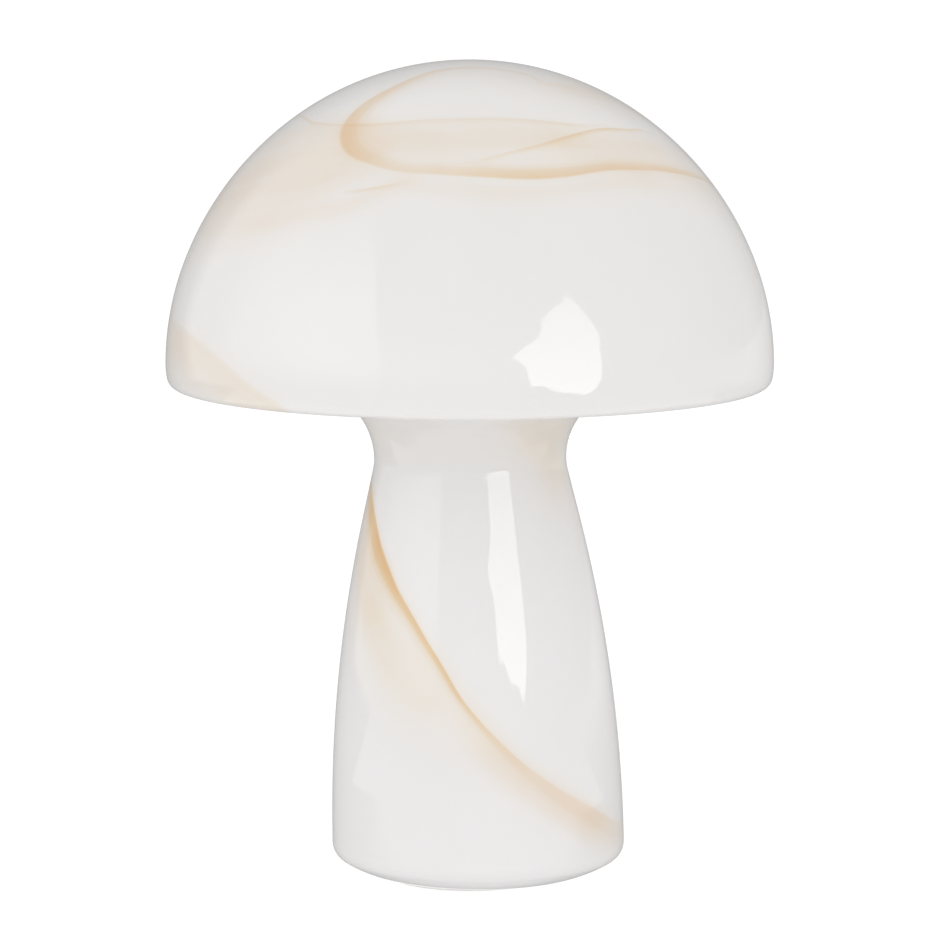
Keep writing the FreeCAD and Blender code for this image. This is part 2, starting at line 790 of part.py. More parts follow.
# Core: a cup under the bore, with a terminal hole each side of its middle.
core_r = cavity_r - size("core_gap")
core_cup_r = core_r - size("core_wall")
core_height = bore_z - joint_z - size("core_gap")
core_outline = Path(0, 0).line(core_r, 0).line(core_r, core_height)
core_outline.line(core_cup_r, core_height).line(core_cup_r, size("core_floor"))
holder_core = new_body("holder_core")
revolve(holder_core, core_outline.line(0, size("core_floor")))
terminals = new_sketch(holder_core, "terminal_holes", "XY_Plane")
for side in (-1, 1):
    add_circle(terminals, side * size("terminal_pitch_r"), 0, screw_hole_r)
pocket(holder_core, terminals, size("terminal_hole"), upward=True)
place(holder_core, z=plate_top_z + joint_z)


def terminal_screw(number, side):
    """A screw up into the core, with its head in the cover."""
    screw = new_body(f"terminal_screw_{number}", exported=False)
    outline = Path(0, -size("terminal_head")).line(size("terminal_head_r"), -size("terminal_head"))
    outline.line(size("terminal_head_r"), 0).line(size("screw_r"), 0)
    outline.line(size("screw_r"), size("terminal_length")).line(0, size("terminal_length"))
    revolve(screw, outline)
    return place(screw, x=side * size("terminal_pitch_r"), z=plate_top_z + joint_z)


gather("terminal_screws", [terminal_screw(*item) for item in enumerate((-1, 1), start=1)])

# Contacts: bent strips that stand on the core's floor.
contact_thick = size("contact_thick")
contact_bend = size("contact_bend")
contact_gap = size("contact_gap")


def contact(label, x, steps):
    body = new_body(label)
    strip = new_sketch(body, f"{label}_strip")
    lower = tangent_path(x, 0, 0, steps)
    upper = tangent_path(x, 0, 0, steps, shift=contact_thick)
    add_closed(strip, lower.join(upper.back()))
    pad(body, strip, size("contact_width"), midplane=True)
    return place(body, z=plate_top_z + core_floor_z)


ramp = size("tip_contact_angle")
ramp_rise = size("tip_contact_rise") - contact_gap - contact_thick
ramp_run = (ramp_rise - 2 * contact_bend * (1 - cosine(ramp))) / sine(ramp)
ramp_reach = 2 * contact_bend * sine(ramp) + ramp_run * cosine(ramp)
contact(
    "centre_contact",
    -(size("tip_contact_base") + ramp_reach + size("tip_contact_top") / 2),
    [
        ("run", size("tip_contact_base")),
        ("bend", contact_bend, ramp),
        ("run", ramp_run),
        ("bend", contact_bend, 0),
        ("run", size("tip_contact_top")),
    ],
)

# The side contact leans in until its knee is a gap away from the bulb's cap.
lean = size("side_contact_angle")
lean_run = size("side_contact_post") / 2
knee_x = crest_r + contact_gap + contact_thick
lean_reach = 2 * contact_bend * (1 - cosine(lean)) + lean_run * sine(lean)
contact(
    "side_contact",
    knee_x + lean_reach - contact_bend - size("side_contact_foot"),
    [
        ("run", size("side_contact_foot")),
        ("bend", contact_bend, UPWARDS),
        ("run", size("side_contact_post")),
        ("bend", contact_bend, UPWARDS + lean),
        ("run", lean_run),
        ("bend", contact_bend, UPWARDS - lean),
        ("run", size("side_contact_tail")),
    ],
)

# ---------------------------------------------------------------- bulb

bulb_z = plate_top_z + tip_z
tip_height = size("tip_height")
cap_z = tip_height + size("insulator_cone")
cap_sheet = size("cap_sheet")
cap_thread_top = cap_z + BULB_THREAD_TURNS * pitch
cap_top = cap_thread_top + 2 * size("cap_step") + size("cap_skirt")
collar_r = size("cap_collar_r")
skirt_r = size("cap_skirt_r")

bulb_tip = new_body("bulb_tip")
tip_steps = [("bend", size("tip_round"), UPWARDS)]
tip_wall = tangent_path(size("tip_r") - size("tip_round"), 0, 0, tip_steps)
revolve(bulb_tip, Path(0, 0).join(tip_wall).line(size("tip_r"), tip_height).line(0, tip_height))

insulator_top = cap_z + size("insulator_plug")
insulator_outline = Path(0, tip_height).line(size("insulator_r"), tip_height)
insulator_outline.line(root_r - cap_sheet, cap_z).line(root_r - cap_sheet, insulator_top)
bulb_insulator = new_body("bulb_insulator")
revolve(bulb_insulator, insulator_outline.line(0, insulator_top))

# Cap: thread, collar and skirt in one thin sheet.
cap_outline = thread_wall(cap_z, BULB_THREAD_TURNS)
for radius, z in (
    (collar_r, cap_thread_top + size("cap_step") / 2),
    (collar_r, cap_thread_top + size("cap_step")),
    (skirt_r, cap_thread_top + 2 * size("cap_step")),
    (skirt_r, cap_top),
    (skirt_r - cap_sheet, cap_top),
    (skirt_r - cap_sheet, cap_thread_top + 2 * size("cap_step")),
    (collar_r - cap_sheet, cap_thread_top + size("cap_step")),
    (collar_r - cap_sheet, cap_thread_top + size("cap_step") / 2),
):
    cap_outline.line(radius, z)
cap_outline.join(thread_wall(cap_z, BULB_THREAD_TURNS, shift=cap_sheet).back())
bulb_cap = new_body("bulb_cap")
revolve(bulb_cap, cap_outline)

# Globe: a neck sunk in the skirt, an outward sweep and the ball.
globe_wall = size("globe_wall")
globe_r = size("globe_r")
neck_r = skirt_r - cap_sheet - size("globe_gap")
neck_bend = size("globe_neck_bend")
neck_z = cap_top - size("globe_sunk")
sweep_z = cap_top + size("globe_neck")
meet_sine = (neck_r + neck_bend) / (globe_r + neck_bend)
meet_cosine = root(1 - meet_sine * meet_sine)
ball_z = sweep_z + (globe_r + neck_bend) * meet_cosine


def globe_wall_path(inset):
    radius = globe_r - inset
    path = Path(neck_r - inset, neck_z).line(neck_r - inset, sweep_z)
    meet_x, meet_z = radius * meet_sine, ball_z - radius * meet_cosine
    path.arc(neck_r + neck_bend, sweep_z, meet_x, meet_z, left=False)
    return path.arc(0, ball_z, 0, ball_z + radius, left=True)


bulb_globe = new_body("bulb_globe")
revolve(bulb_globe, globe_wall_path(ZERO).join(globe_wall_path(globe_wall).back()))

# Filaments stand between two wire frames, in the wide part of the globe.
filament_z = sweep_z + size("filament_rise")
frame_gap = size("wire_r") + size("wire_gap")
low_frame_z = filament_z - frame_gap
high_frame_z = filament_z + size("filament_length") + frame_gap

# Mount: a glass flange in the neck that draws up into a rod through both frames.
flange_edge = neck_r - globe_wall - size("globe_gap")
rod_r = size("mount_tube_r")
rod_z = neck_z + size("mount_flange") + size("mount_cone")
rod_top = high_frame_z + size("mount_over")
mount_outline = Path(0, neck_z).line(flange_edge, neck_z)
mount_outline.line(flange_edge, neck_z + size("mount_flange")).line(rod_r, rod_z)
mount_outline.line(rod_r, rod_top).arc(0, rod_top, 0, rod_top + rod_r, left=True)
filament_mount = new_body("filament_mount")
revolve(filament_mount, mount_outline)

driver_board = doc.addObject("Part::Box", "driver_board")
driver_board.setExpression("Length", "Sizes.board_width")
driver_board.setExpression("Width", "Sizes.board_thick")
driver_board.setExpression("Height", "Sizes.board_height")
NODES["driver_board"] = driver_board
place(driver_board, x=-size("board_width") / 2, y=-size("board_thick") / 2, z=bulb_z + insulator_top)

for piece in (bulb_tip, bulb_insulator, bulb_cap, bulb_globe, filament_mount):
    place(piece, z=bulb_z)

filament_pitch_r = size("filament_pitch_r")


def filament(number, turn):
    stick = doc.addObject("Part::Cylinder", f"filament_{number}")
    stick.setExpression("Radius", "Sizes.filament_r")
    stick.setExpression("Height", "Sizes.filament_length")
    x, y = filament_pitch_r * cosine(turn), filament_pitch_r * sine(turn)
    return place(stick, x=x, y=y, z=bulb_z + filament_z)


def wire_frame(label, z):
    """A ring with a spoke from side to side, bent from wire."""
    hoop = doc.addObject("Part::Torus", f"{label}_hoop")
    hoop.setExpression("Radius1", filament_pitch_r.text)
    hoop.setExpression("Radius2", "Sizes.wire_r")
    place(hoop, z=bulb_z + z)
    spoke = doc.addObject("Part::Cylinder", f"{label}_spoke")
    spoke.setExpression("Radius", "Sizes.wire_r")
    spoke.setExpression("Height", (2 * filament_pitch_r).text)
    place(spoke, y=filament_pitch_r, z=bulb_z + z, turn=90, about=(1, 0, 0))
    rod = doc.addObject("Part::Cylinder", f"{label}_rod")
    rod.setExpression("Radius", (rod_r + size("wire_gap")).text)
    rod.setExpression("Height", (4 * size("wire_r")).text)
    place(rod, z=bulb_z + z - 2 * size("wire_r"))
    bent = doc.addObject("Part::Fuse", f"{label}_bent")
    bent.Base = hoop
    bent.Tool = spoke
    frame = doc.addObject("Part::Cut", label)
    frame.Base = bent
    frame.Tool = rod
    return frame


quarter_turns = [360 / FILAMENTS * index for index in range(FILAMENTS)]
gather("led_filaments", [filament(*item) for item in enumerate(quarter_turns, start=1)])
wires = [wire_frame("low_wire_frame", low_frame_z), wire_frame("high_wire_frame", high_frame_z)]
gather("filament_wires", wires)

# ---------------------------------------------------------------- checks and files

doc.recompute()
broken = [item.Label for item in doc.Objects if {"Invalid", "Error"} & set(item.State)]
if broken:
    raise RuntimeError(f"failed: {broken}")
for label, node in NODES.items():
    if node.Shape.isNull() or not node.Shape.isValid():
        raise RuntimeError(f"{label} has no valid shape")

os.makedirs("parts", exist_ok=True)
for label, node in NODES.items():
    node.Shape.exportStep(f"parts/{label}.step")
    box = node.Shape.BoundBox
    print(
        f"{label}: {len(node.Shape.Solids)} solid(s), {node.Shape.Volume / 1000:.2f} cm3, "
        f"z {box.ZMin:.2f} to {box.ZMax:.2f}, r {max(box.XMax, box.YMax):.2f}"
    )
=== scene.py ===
# %% [markdown]
# # A mushroom table lamp in swirled opal glass
# A blown glass dome lies loose on a waisted glass stem, and a small screw-in bulb
# stands in the mouth between them. The soft rings, the metalwork and the inside of
# the bulb come ready made from the CAD model. This lesson models the glass again,
# more finely, and gives every piece its finish.
#
# The CAD model is loaded first. It is the fixed frame that all else is built on.

# %% Load the frame
import math

import bpy
import numpy as np
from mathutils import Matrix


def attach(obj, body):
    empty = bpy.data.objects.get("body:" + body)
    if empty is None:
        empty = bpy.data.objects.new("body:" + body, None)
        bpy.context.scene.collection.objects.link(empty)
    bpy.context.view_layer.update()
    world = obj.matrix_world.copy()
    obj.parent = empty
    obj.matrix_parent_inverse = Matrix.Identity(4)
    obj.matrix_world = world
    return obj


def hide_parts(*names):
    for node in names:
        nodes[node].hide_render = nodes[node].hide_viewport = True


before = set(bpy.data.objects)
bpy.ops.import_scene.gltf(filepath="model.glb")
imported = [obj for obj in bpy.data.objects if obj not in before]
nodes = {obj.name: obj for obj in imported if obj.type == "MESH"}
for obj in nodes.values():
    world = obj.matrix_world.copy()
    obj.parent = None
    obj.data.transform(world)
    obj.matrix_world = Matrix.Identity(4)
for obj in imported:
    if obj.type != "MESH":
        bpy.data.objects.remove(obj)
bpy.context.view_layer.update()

MM = 0.001
print("nodes in the frame:", len(nodes))

# %% [markdown]
# ## Camera
# A product photograph of a small lamp is taken from some way off with a long lens,
# so that the glass looks upright and calm. The camera stands over two metres away,
# a little above the top of the shade, and looks slightly down. Camera turns are given
# from its rest pose, where it looks straight down, so level is a right angle.

# %% Camera
CAMERA_RIGHT = 0.0001
CAMERA_DISTANCE = 2.2
CAMERA_HEIGHT = 0.4364
CAMERA_PITCH = 0.129
LENS = 232.1
SENSOR = 36

camera = bpy.data.objects.new("camera", bpy.data.cameras.new("camera"))
bpy.context.scene.collection.objects.link(camera)
camera.data.lens = LENS
camera.data.sensor_width = SENSOR
camera.location = (CAMERA_RIGHT, -CAMERA_DISTANCE, CAMERA_HEIGHT)
camera.rotation_euler = (math.pi / 2 - CAMERA_PITCH, 0, 0)
bpy.context.scene.camera = camera
print("camera looks down", round(math.degrees(CAMERA_PITCH), 1), "degrees")

# %% [markdown]
# ## A pen that draws glass
# Blown glass is round, so one outline turned about the upright axis gives a whole
# wall. The outline could be typed in as points, but a glassworker sees it as arcs
# that flow into each other. The pen below draws it so: it starts as one vertex,
# extrudes it for a straight run and spins it round a centre for a bend. Each new
# stretch starts in the direction in which the last one ended, so nothing kinks.

# %% The pen
ARC_LENGTH = 1.7 * MM
ARC_ANGLE = 7.5
FEWEST_STEPS = 2
SAME_SPOT = 0.002 * MM


class Pen:
    """Draws an outline in the X-Z plane with its last vertex."""

    def __init__(self, name, x, z):
        bpy.ops.object.select_all(action="DESELECT")
        bpy.ops.mesh.primitive_plane_add(size=MM)
        self.piece = bpy.context.object
        self.piece.name = name
        bpy.ops.object.mode_set(mode="EDIT")
        bpy.ops.mesh.merge(type="CENTER")
        bpy.ops.transform.translate(value=(x, 0, z))
        self.x, self.z, self.heading = x, z, 0
        self.trail = [(x, z)]

    def run(self, length):
        """A straight run in the present direction."""
        turn = math.radians(self.heading)
        step = (length * math.cos(turn), 0, length * math.sin(turn))
        bpy.ops.mesh.extrude_vertices_move(TRANSFORM_OT_translate={"value": step})
        self.x, self.z = self.x + step[0], self.z + step[2]
        self.trail.append((self.x, self.z))

    def to(self, x, z):
        """A straight run to a place."""
        step = (x - self.x, 0, z - self.z)
        bpy.ops.mesh.extrude_vertices_move(TRANSFORM_OT_translate={"value": step})
        self.x, self.z = x, z

    def bend(self, radius, heading):
        """An arc that ends in a new direction."""
        start, stop = math.radians(self.heading), math.radians(heading)
        reach = radius if heading > self.heading else -radius
        centre_x = self.x - reach * math.sin(start)
        centre_z = self.z + reach * math.cos(start)
        turned = abs(stop - start)
        steps = max(
            FEWEST_STEPS,
            math.ceil(radius * turned / ARC_LENGTH),
            math.ceil(math.degrees(turned) / ARC_ANGLE),
        )
        bpy.ops.mesh.spin(
            steps=steps,
            angle=turned,
            center=(centre_x, 0, centre_z),
            axis=(0, math.copysign(1, reach), 0),
        )
        for angle in np.linspace(start, stop, steps + 1)[1:]:
            self.x = centre_x + reach * math.sin(angle)
            self.z = centre_z - reach * math.cos(angle)
            self.trail.append((self.x, self.z))
        self.heading = heading

    def walk(self, steps):
        """Several runs and bends, one after the other."""
        for kind, *sizes in steps:
            draw_one = self.run if kind == "run" else self.bend
            draw_one(*sizes)

    def turn_round(self, sides):
        """Turns the outline round the upright axis and closes it."""
        bpy.ops.mesh.select_all(action="SELECT")
        bpy.ops.mesh.spin(steps=sides, angle=2 * math.pi, center=(0, 0, 0), axis=(0, 0, 1))
        bpy.ops.mesh.select_all(action="SELECT")
        bpy.ops.mesh.remove_doubles(threshold=SAME_SPOT)
        bpy.ops.mesh.normals_make_consistent(inside=False)
        bpy.ops.object.mode_set(mode="OBJECT")
        bpy.ops.object.shade_smooth()
        print(self.piece.name, "has", len(self.piece.data.polygons), "faces")
        return self.piece


def back_along(steps, heading, wall):
    """The same steps walked back, one wall further in."""
    back = []
    for kind, length, *turn in steps:
        if kind == "run":
            back.append((kind, length))
            continue
        turns_left = turn[0] > heading
        back.append((kind, length - wall if turns_left else length + wall, heading + 180))
        heading = turn[0]
    return back[::-1]


# %% [markdown]
# ## The stem
# The stem is one blown piece, open at the top: a flat foot that is ground level, a
# round heel, a long belly, a waist, and a flare whose lip is melted round in the
# flame. The pen goes up the outside, round the lip and down the inside, so that the
# wall has its real thickness, which matters where light goes through it.

# %% Stem glass
STEM_WALL = 3.5 * MM
FOOT = 1.0 * MM
GROUND_FLAT = 30.0 * MM
GROUND_EDGE = 4.6
LIP_HEADING = 32.0
STEM_STEPS = [
    ("bend", 46.7 * MM, 31.1),
    ("bend", 6.9 * MM, 90),
    ("bend", 525.0 * MM, 103.1),
    ("run", 19.6 * MM),
    ("bend", 17.9 * MM, 90),
    ("bend", 26.1 * MM, LIP_HEADING),
]

stem_pen = Pen("stem_glass", 0, FOOT)
stem_pen.run(GROUND_FLAT)
stem_pen.heading = GROUND_EDGE
stem_pen.walk(STEM_STEPS)
stem_trail = np.array(stem_pen.trail)
stem_pen.bend(STEM_WALL / 2, LIP_HEADING + 180)
stem_pen.walk(back_along(STEM_STEPS, GROUND_EDGE, STEM_WALL))
stem_pen.heading = 180
stem_pen.run(stem_pen.x)
stem_glass = stem_pen.turn_round(sides=256)

# %% [markdown]
# A stem that was blown and turned by hand is never quite true. This one leans: its
# foot stands a few millimetres to the right of its neck. With the foot selected,
# proportional editing moves it, and takes the wall above along, less and less, up
# to the neck, which stays where the lamp holder needs it.

# %% Lean of the stem
LEAN = 3.1 * MM
LEAN_FOOT = 16.0 * MM
LEAN_REACH = 149.0 * MM

bpy.ops.object.mode_set(mode="EDIT")
bpy.ops.mesh.select_mode(type="VERT")
bpy.ops.mesh.select_all(action="DESELECT")
bpy.ops.object.mode_set(mode="OBJECT")
for vertex in stem_glass.data.vertices:
    vertex.select = vertex.co.z < LEAN_FOOT
bpy.ops.object.mode_set(mode="EDIT")
bpy.ops.transform.translate(
    value=(LEAN, 0, 0),
    use_proportional_edit=True,
    proportional_edit_falloff="LINEAR",
    proportional_size=LEAN_REACH,
)
bpy.ops.object.mode_set(mode="OBJECT")


def leaning(spots):
    """The same places on the leaning stem."""
    share = np.clip(1 - (spots[:, 2] - LEAN_FOOT) / LEAN_REACH, 0, 1)
    return spots + np.outer(share, (LEAN, 0, 0))


print("the foot stands", LEAN / MM, "mm to the right")

# %% [markdown]
# The cord leaves the stem through one drilled hole, low at the back. A hole through
# a curved wall is easiest as a Boolean: a round bar where the drill would be is
# taken away from the glass, and the bar is deleted.

# %% Cord hole in the stem
INLET_HEIGHT = 21.97 * MM
INLET_R = 4.6 * MM
BACK_WALL = 50 * MM
DRILL_LENGTH = 30 * MM

bpy.ops.object.select_all(action="DESELECT")
bpy.ops.mesh.primitive_cylinder_add(
    vertices=48,
    radius=INLET_R,
    depth=DRILL_LENGTH,
    location=(0, BACK_WALL, INLET_HEIGHT),
    rotation=(math.pi / 2, 0, 0),
)
drill = bpy.context.object
bpy.context.view_layer.objects.active = stem_glass
cut = stem_glass.modifiers.new("cord hole", "BOOLEAN")
cut.object = drill
cut.solver = "EXACT"
bpy.ops.object.modifier_apply(modifier=cut.name)
bpy.data.objects.remove(drill)
print("stem with its hole has", len(stem_glass.data.polygons), "faces")

# %% [markdown]
# ## The shade
# The shade is a dome with a rounded skirt and a flat underside, which has a round
# hole that drops over the soft ring on the stem. The pen starts at the crown, goes
# down the outside, in along the underside, round the rim of the hole, and back up
# the inside to the crown.

# %% Shade glass
SHADE_WALL = 3.0 * MM
CROWN_HEIGHT = 301.064 * MM
UNDERSIDE_WIDTH = 60.745 * MM
CROWN_BEND = 108.399 * MM
SHADE_STEPS = [
    ("bend", 3.8 * MM, 77.3),
    ("bend", 22.4 * MM, 90),
    ("bend", 104.2 * MM, 109.6),
    ("bend", 116.0 * MM, 145.4),
    ("bend", CROWN_BEND, 180),
]

shade_pen = Pen("shade_glass", 0, CROWN_HEIGHT)
shade_pen.heading = 360
shade_pen.walk(back_along(SHADE_STEPS, 0, 0))
shade_trail = np.array(shade_pen.trail)
shade_pen.run(UNDERSIDE_WIDTH)
shade_pen.bend(SHADE_WALL / 2, 0)
shade_pen.run(UNDERSIDE_WIDTH)
for _, radius, heading in SHADE_STEPS:
    shade_pen.bend(radius - SHADE_WALL, heading)
shade_glass = shade_pen.turn_round(sides=288)

# %% [markdown]
# ## The bulb's glass
# A small globe lamp: a straight neck held in the cap, a sweep outwards, and a ball.
# The glass is thin and clear, so both faces of the wall are drawn: light bends as
# it goes in and again as it comes out.

# %% Bulb glass
BULB_STANDS_AT = 160.609 * MM
NECK_FOOT = BULB_STANDS_AT + 21.1 * MM
SWEEP_FOOT = BULB_STANDS_AT + 28.9 * MM
BALL_MIDDLE = BULB_STANDS_AT + 55.483 * MM
BALL_R = 22.5 * MM
NECK_R = 7.9 * MM
NECK_SWEEP = 9.0 * MM
BULB_WALL = 0.8 * MM

meeting = math.degrees(math.asin((NECK_R + NECK_SWEEP) / (BALL_R + NECK_SWEEP)))
globe_steps = [
    ("run", SWEEP_FOOT - NECK_FOOT),
    ("bend", NECK_SWEEP, meeting),
    ("bend", BALL_R, 180),
]
globe_pen = Pen("bulb_glass", 0, BALL_MIDDLE + BALL_R)
globe_pen.heading = 360
globe_pen.walk(back_along(globe_steps, 90, 0))
globe_pen.heading = 180
globe_pen.run(BULB_WALL)
globe_pen.heading = 90
globe_pen.run(SWEEP_FOOT - NECK_FOOT)
globe_pen.bend(NECK_SWEEP + BULB_WALL, meeting)
globe_pen.bend(BALL_R - BULB_WALL, 180)
bulb_glass = globe_pen.turn_round(sides=96)

# %% [markdown]
# ## Places on the glass
# The swirls are threads of amber glass that were rolled into the white gather. To
# lay a thread on the wall, its places are named as on the real piece: on top of the
# dome by how far they lie to the right and towards the back, and on a side wall by
# the angle round the lamp, from the front, and the height.

# %% Places on the wall
def over_dome(*places):
    """Points on the dome under places seen from above, in millimetres."""
    spots = np.array(places) * MM
    across = np.hypot(*spots.T)
    heights = np.interp(across, shade_trail[:, 0], shade_trail[:, 1])
    return np.column_stack([spots, heights])


def round_wall(trail, *places):
    """Points on a side wall from (angle from the front, height in millimetres)."""
    turns, heights = np.array(places, float).T
    rising = trail[np.argsort(trail[:, 1])]
    reach = np.interp(heights * MM, rising[:, 1], rising[:, 0])
    turns = np.radians(turns)
    return np.column_stack([reach * np.sin(turns), -reach * np.cos(turns), heights * MM])


def smooth_line(points, fineness=16):
    """A smooth line through points, each stretch shaped by its neighbours."""
    ends = np.vstack([2 * points[0] - points[1], points, 2 * points[-1] - points[-2]])
    t = np.linspace(0, 1, fineness, endpoint=False)[:, None]
    runs = []
    for before, here, there, beyond in zip(ends, ends[1:], ends[2:], ends[3:]):
        pull = (there - before) / 2
        push = (beyond - here) / 2
        runs.append(
            (2 * t**3 - 3 * t**2 + 1) * here
            + (t**3 - 2 * t**2 + t) * pull
            + (3 * t**2 - 2 * t**3) * there
            + (t**3 - t**2) * push
        )
    return np.vstack([*runs, points[-1:]])


# %% [markdown]
# ## What the glass remembers
# A painted image would be one way to draw the swirls, and a pile of noise another.
# Here each thread is a real line on the wall, and each vertex of the glass stores
# its signed distance from that line, counted in half widths of the thread. The
# material then draws the thread's core between minus one and one, and lets its soft
# side run out further. Distances blend well between vertices, so the thread stays
# sharp on a coarse mesh. First come the helpers that measure the distance.

# %% Distance from a line
REACH = 30 * MM


def nearest_on(line, spots):
    """For each spot: the offset from its nearest point on a line, that stretch's
    direction, and how far along the line it lies, from 0 to 1."""
    starts, stretches = line[:-1], np.diff(line, axis=0)
    lengths = np.einsum("ij,ij->i", stretches, stretches)
    gaps = spots[:, None] - starts[None]
    along = np.clip(np.einsum("vij,ij->vi", gaps, stretches) / lengths, 0, 1)
    gaps -= along[..., None] * stretches[None]
    best = np.argmin(np.einsum("vij,vij->vi", gaps, gaps), axis=1)
    pick = np.arange(len(spots))
    return gaps[pick, best], stretches[best], (best + along[pick, best]) / len(stretches)


def read_wall(piece):
    """The places and outward directions of a piece's vertices."""
    count = len(piece.data.vertices)
    spots, outward = np.zeros(3 * count), np.zeros(3 * count)
    piece.data.vertices.foreach_get("co", spots)
    piece.data.vertices.foreach_get("normal", outward)
    return spots.reshape(-1, 3), outward.reshape(-1, 3)


def across_line(piece, line):
    """The vertices near a line, their signed distance from it (more than nothing on
    the left of its run), how far past its ends they lie, and their share along it."""
    spots, outward = read_wall(piece)
    low, high = line.min(axis=0) - REACH, line.max(axis=0) + REACH
    near = np.all((spots > low) & (spots < high), axis=1)
    gaps, stretches, along = nearest_on(line, spots[near])
    side = np.cross(outward[near], stretches)
    side /= np.linalg.norm(side, axis=1)[:, None] + 1e-12
    across = np.einsum("ij,ij->i", gaps, side)
    beyond = np.linalg.norm(gaps - across[:, None] * side, axis=1)
    return near, across, beyond, along


# %% [markdown]
# A number for each vertex is kept in an attribute, which the material finds by its
# name. A thread needs two: the place across it and the depth of its colour. Past its
# ends the colour fades out within a few millimetres.

# %% Store a thread on a piece of glass
FAR = 90.0
ENDS_FADE = 5 * MM


def store(piece, name, values):
    """Keeps a number for each vertex of a piece."""
    layer = piece.data.attributes.new(name, "FLOAT", "POINT")
    layer.data.foreach_set("value", values.astype(np.float32))


def spread_along(along, numbers):
    """Numbers that are evenly spaced along a line, blended in between."""
    return np.interp(along, np.linspace(0, 1, len(numbers)), numbers)


def lay_thread(piece, name, points, widths, depths, crisp="left"):
    """Stores one thread: the place across it, and how deep its colour is. Its crisp
    edge is at plus one and its soft one at minus one."""
    line = smooth_line(points)
    near, across, beyond, along = across_line(piece, line)
    half = spread_along(along, widths) * MM / 2
    place, depth = np.full(len(near), FAR), np.zeros(len(near))
    place[near] = across / half * (1 if crisp == "left" else -1)
    depth[near] = spread_along(along, depths) * np.clip(1.5 - beyond / ENDS_FADE, 0, 1)
    store(piece, name, place)
    store(piece, f"{name}_depth", depth)
    length = np.linalg.norm(np.diff(line, axis=0), axis=1).sum()
    print(name, "is", round(length / MM), "mm long")


# %% [markdown]
# Round the threads lies a haze of the same amber, pulled out so thin that it only
# warms the white. Each wisp follows a line too. It fades out on both sides, and
# fine streaks run along it, quick to change across it and slow along it.

# %% Store the haze
STREAK_GAPS = (5.0, 8.0, 13.0)

chance = np.random.default_rng(7)


def streaks_beside(across, along):
    """Streaks beside a line, from 0 to 1."""
    total = np.zeros(len(across))
    for gap in STREAK_GAPS:
        swing, turns, start = chance.uniform(0.6, 1.6), chance.uniform(4, 9), chance.uniform(0, 6)
        sway = swing * np.sin(turns * along + start)
        total += np.sin(2 * np.pi * across / (gap * MM) + sway + chance.uniform(0, 6))
    return 0.5 + total / (2 * len(STREAK_GAPS))


def lay_haze(piece, *wisps):
    """Stores the depth of all wisps: (points, width, depths, how streaky)."""
    amount = np.zeros(len(piece.data.vertices))
    for points, width, depths, streaky in wisps:
        near, across, beyond, along = across_line(piece, smooth_line(points, fineness=8))
        distance = np.hypot(across, beyond) / (width * MM)
        uneven = 1 - streaky * streaks_beside(across, along)
        amount[near] += spread_along(along, depths) * np.exp(-(distance**2)) * uneven
    store(piece, "haze", amount)
    print("haze on", piece.name, "is up to", round(float(amount.max()), 2), "deep")


# %% [markdown]
# ## The threads on the shade
# One long thread makes the loop that is seen first: it starts thin to the right of
# the crown, swings round to the left, is widest there, and runs out to the right. A
# fine thread crosses it, a third arches over its right half, a short wisp lies
# beside its left end, and a broad soft one comes round the skirt from the left. The
# back has a loop of its own and a low thread under it.

# %% Threads on the shade
lay_thread(
    shade_glass,
    "loop",
    over_dome(
        (30, -27), (25, -25), (19, -20.5), (4, -18.5), (-11, -21), (-25, -30), (-36, -37.5),
        (-42, -45), (-43.4, -52), (-41.4, -59.6), (-35.6, -66.4), (-25, -74.2), (-10, -78.4),
        (5, -79.6), (19, -78.1), (33.5, -72.7), (48, -62.8), (63, -49.4), (79, -28), (88, -6),
        (91, 18), (86, 42),
    ),
    widths=(2, 2.4, 3, 3.6, 5.4, 5.4, 4.8, 3.4, 3.8, 4.0, 3.0, 2.4, 1.8, 1.4),
    depths=(0, 0.2, 0.3, 0.46, 0.7, 0.64, 0.5, 0.46, 0.6, 0.7, 0.66, 0.5, 0.3, 0),
    crisp="right",
)
lay_thread(
    shade_glass,
    "fine",
    over_dome(
        (-66, 14), (-64, 4), (-61.5, -9), (-57.1, -27.7), (-53.4, -34.6), (-46, -43.8),
        (-31.6, -53.5), (-10.3, -58.6), (3.8, -58.9), (18, -56.9), (32.2, -52.8), (42, -47.6),
        (50, -39),
    ),
    widths=(1.2, 1.0, 0.9, 1.2, 1.8, 2.0, 1.4, 1.2),
    depths=(0.2, 0.34, 0.34, 0.22, 0.2, 0.22, 0.24, 0),
)
lay_thread(
    shade_glass,
    "arch",
    over_dome(
        (-6, -77), (3.8, -75.6), (14, -71.8), (25, -66), (36, -57), (46.5, -46), (56.5, -35.5),
        (61.3, -28), (67.5, -20),
    ),
    widths=(1.0, 1.2, 1.3, 1.4, 1.4, 1.2, 1.0),
    depths=(0, 0.14, 0.26, 0.42, 0.5, 0.36, 0),
)
lay_thread(
    shade_glass,
    "wisp",
    over_dome((-45, -73.5), (-40.8, -75.4), (-34.1, -77.6), (-27.1, -79.2), (-20.8, -80)),
    widths=(1.0, 1.0, 1.2, 1.0),
    depths=(0, 0.34, 0.3, 0),
)
lay_thread(
    shade_glass,
    "skirt",
    round_wall(
        shade_trail,
        (-150, 222), (-120, 213), (-92, 206), (-78, 203.5), (-68, 202), (-60, 199),
        (-52, 193.5), (-45, 187), (-39, 182.6),
    ),
    widths=(4, 9, 11, 11, 10, 9, 9, 8),
    depths=(0, 0.2, 0.24, 0.24, 0.22, 0.2, 0.22, 0.24),
)
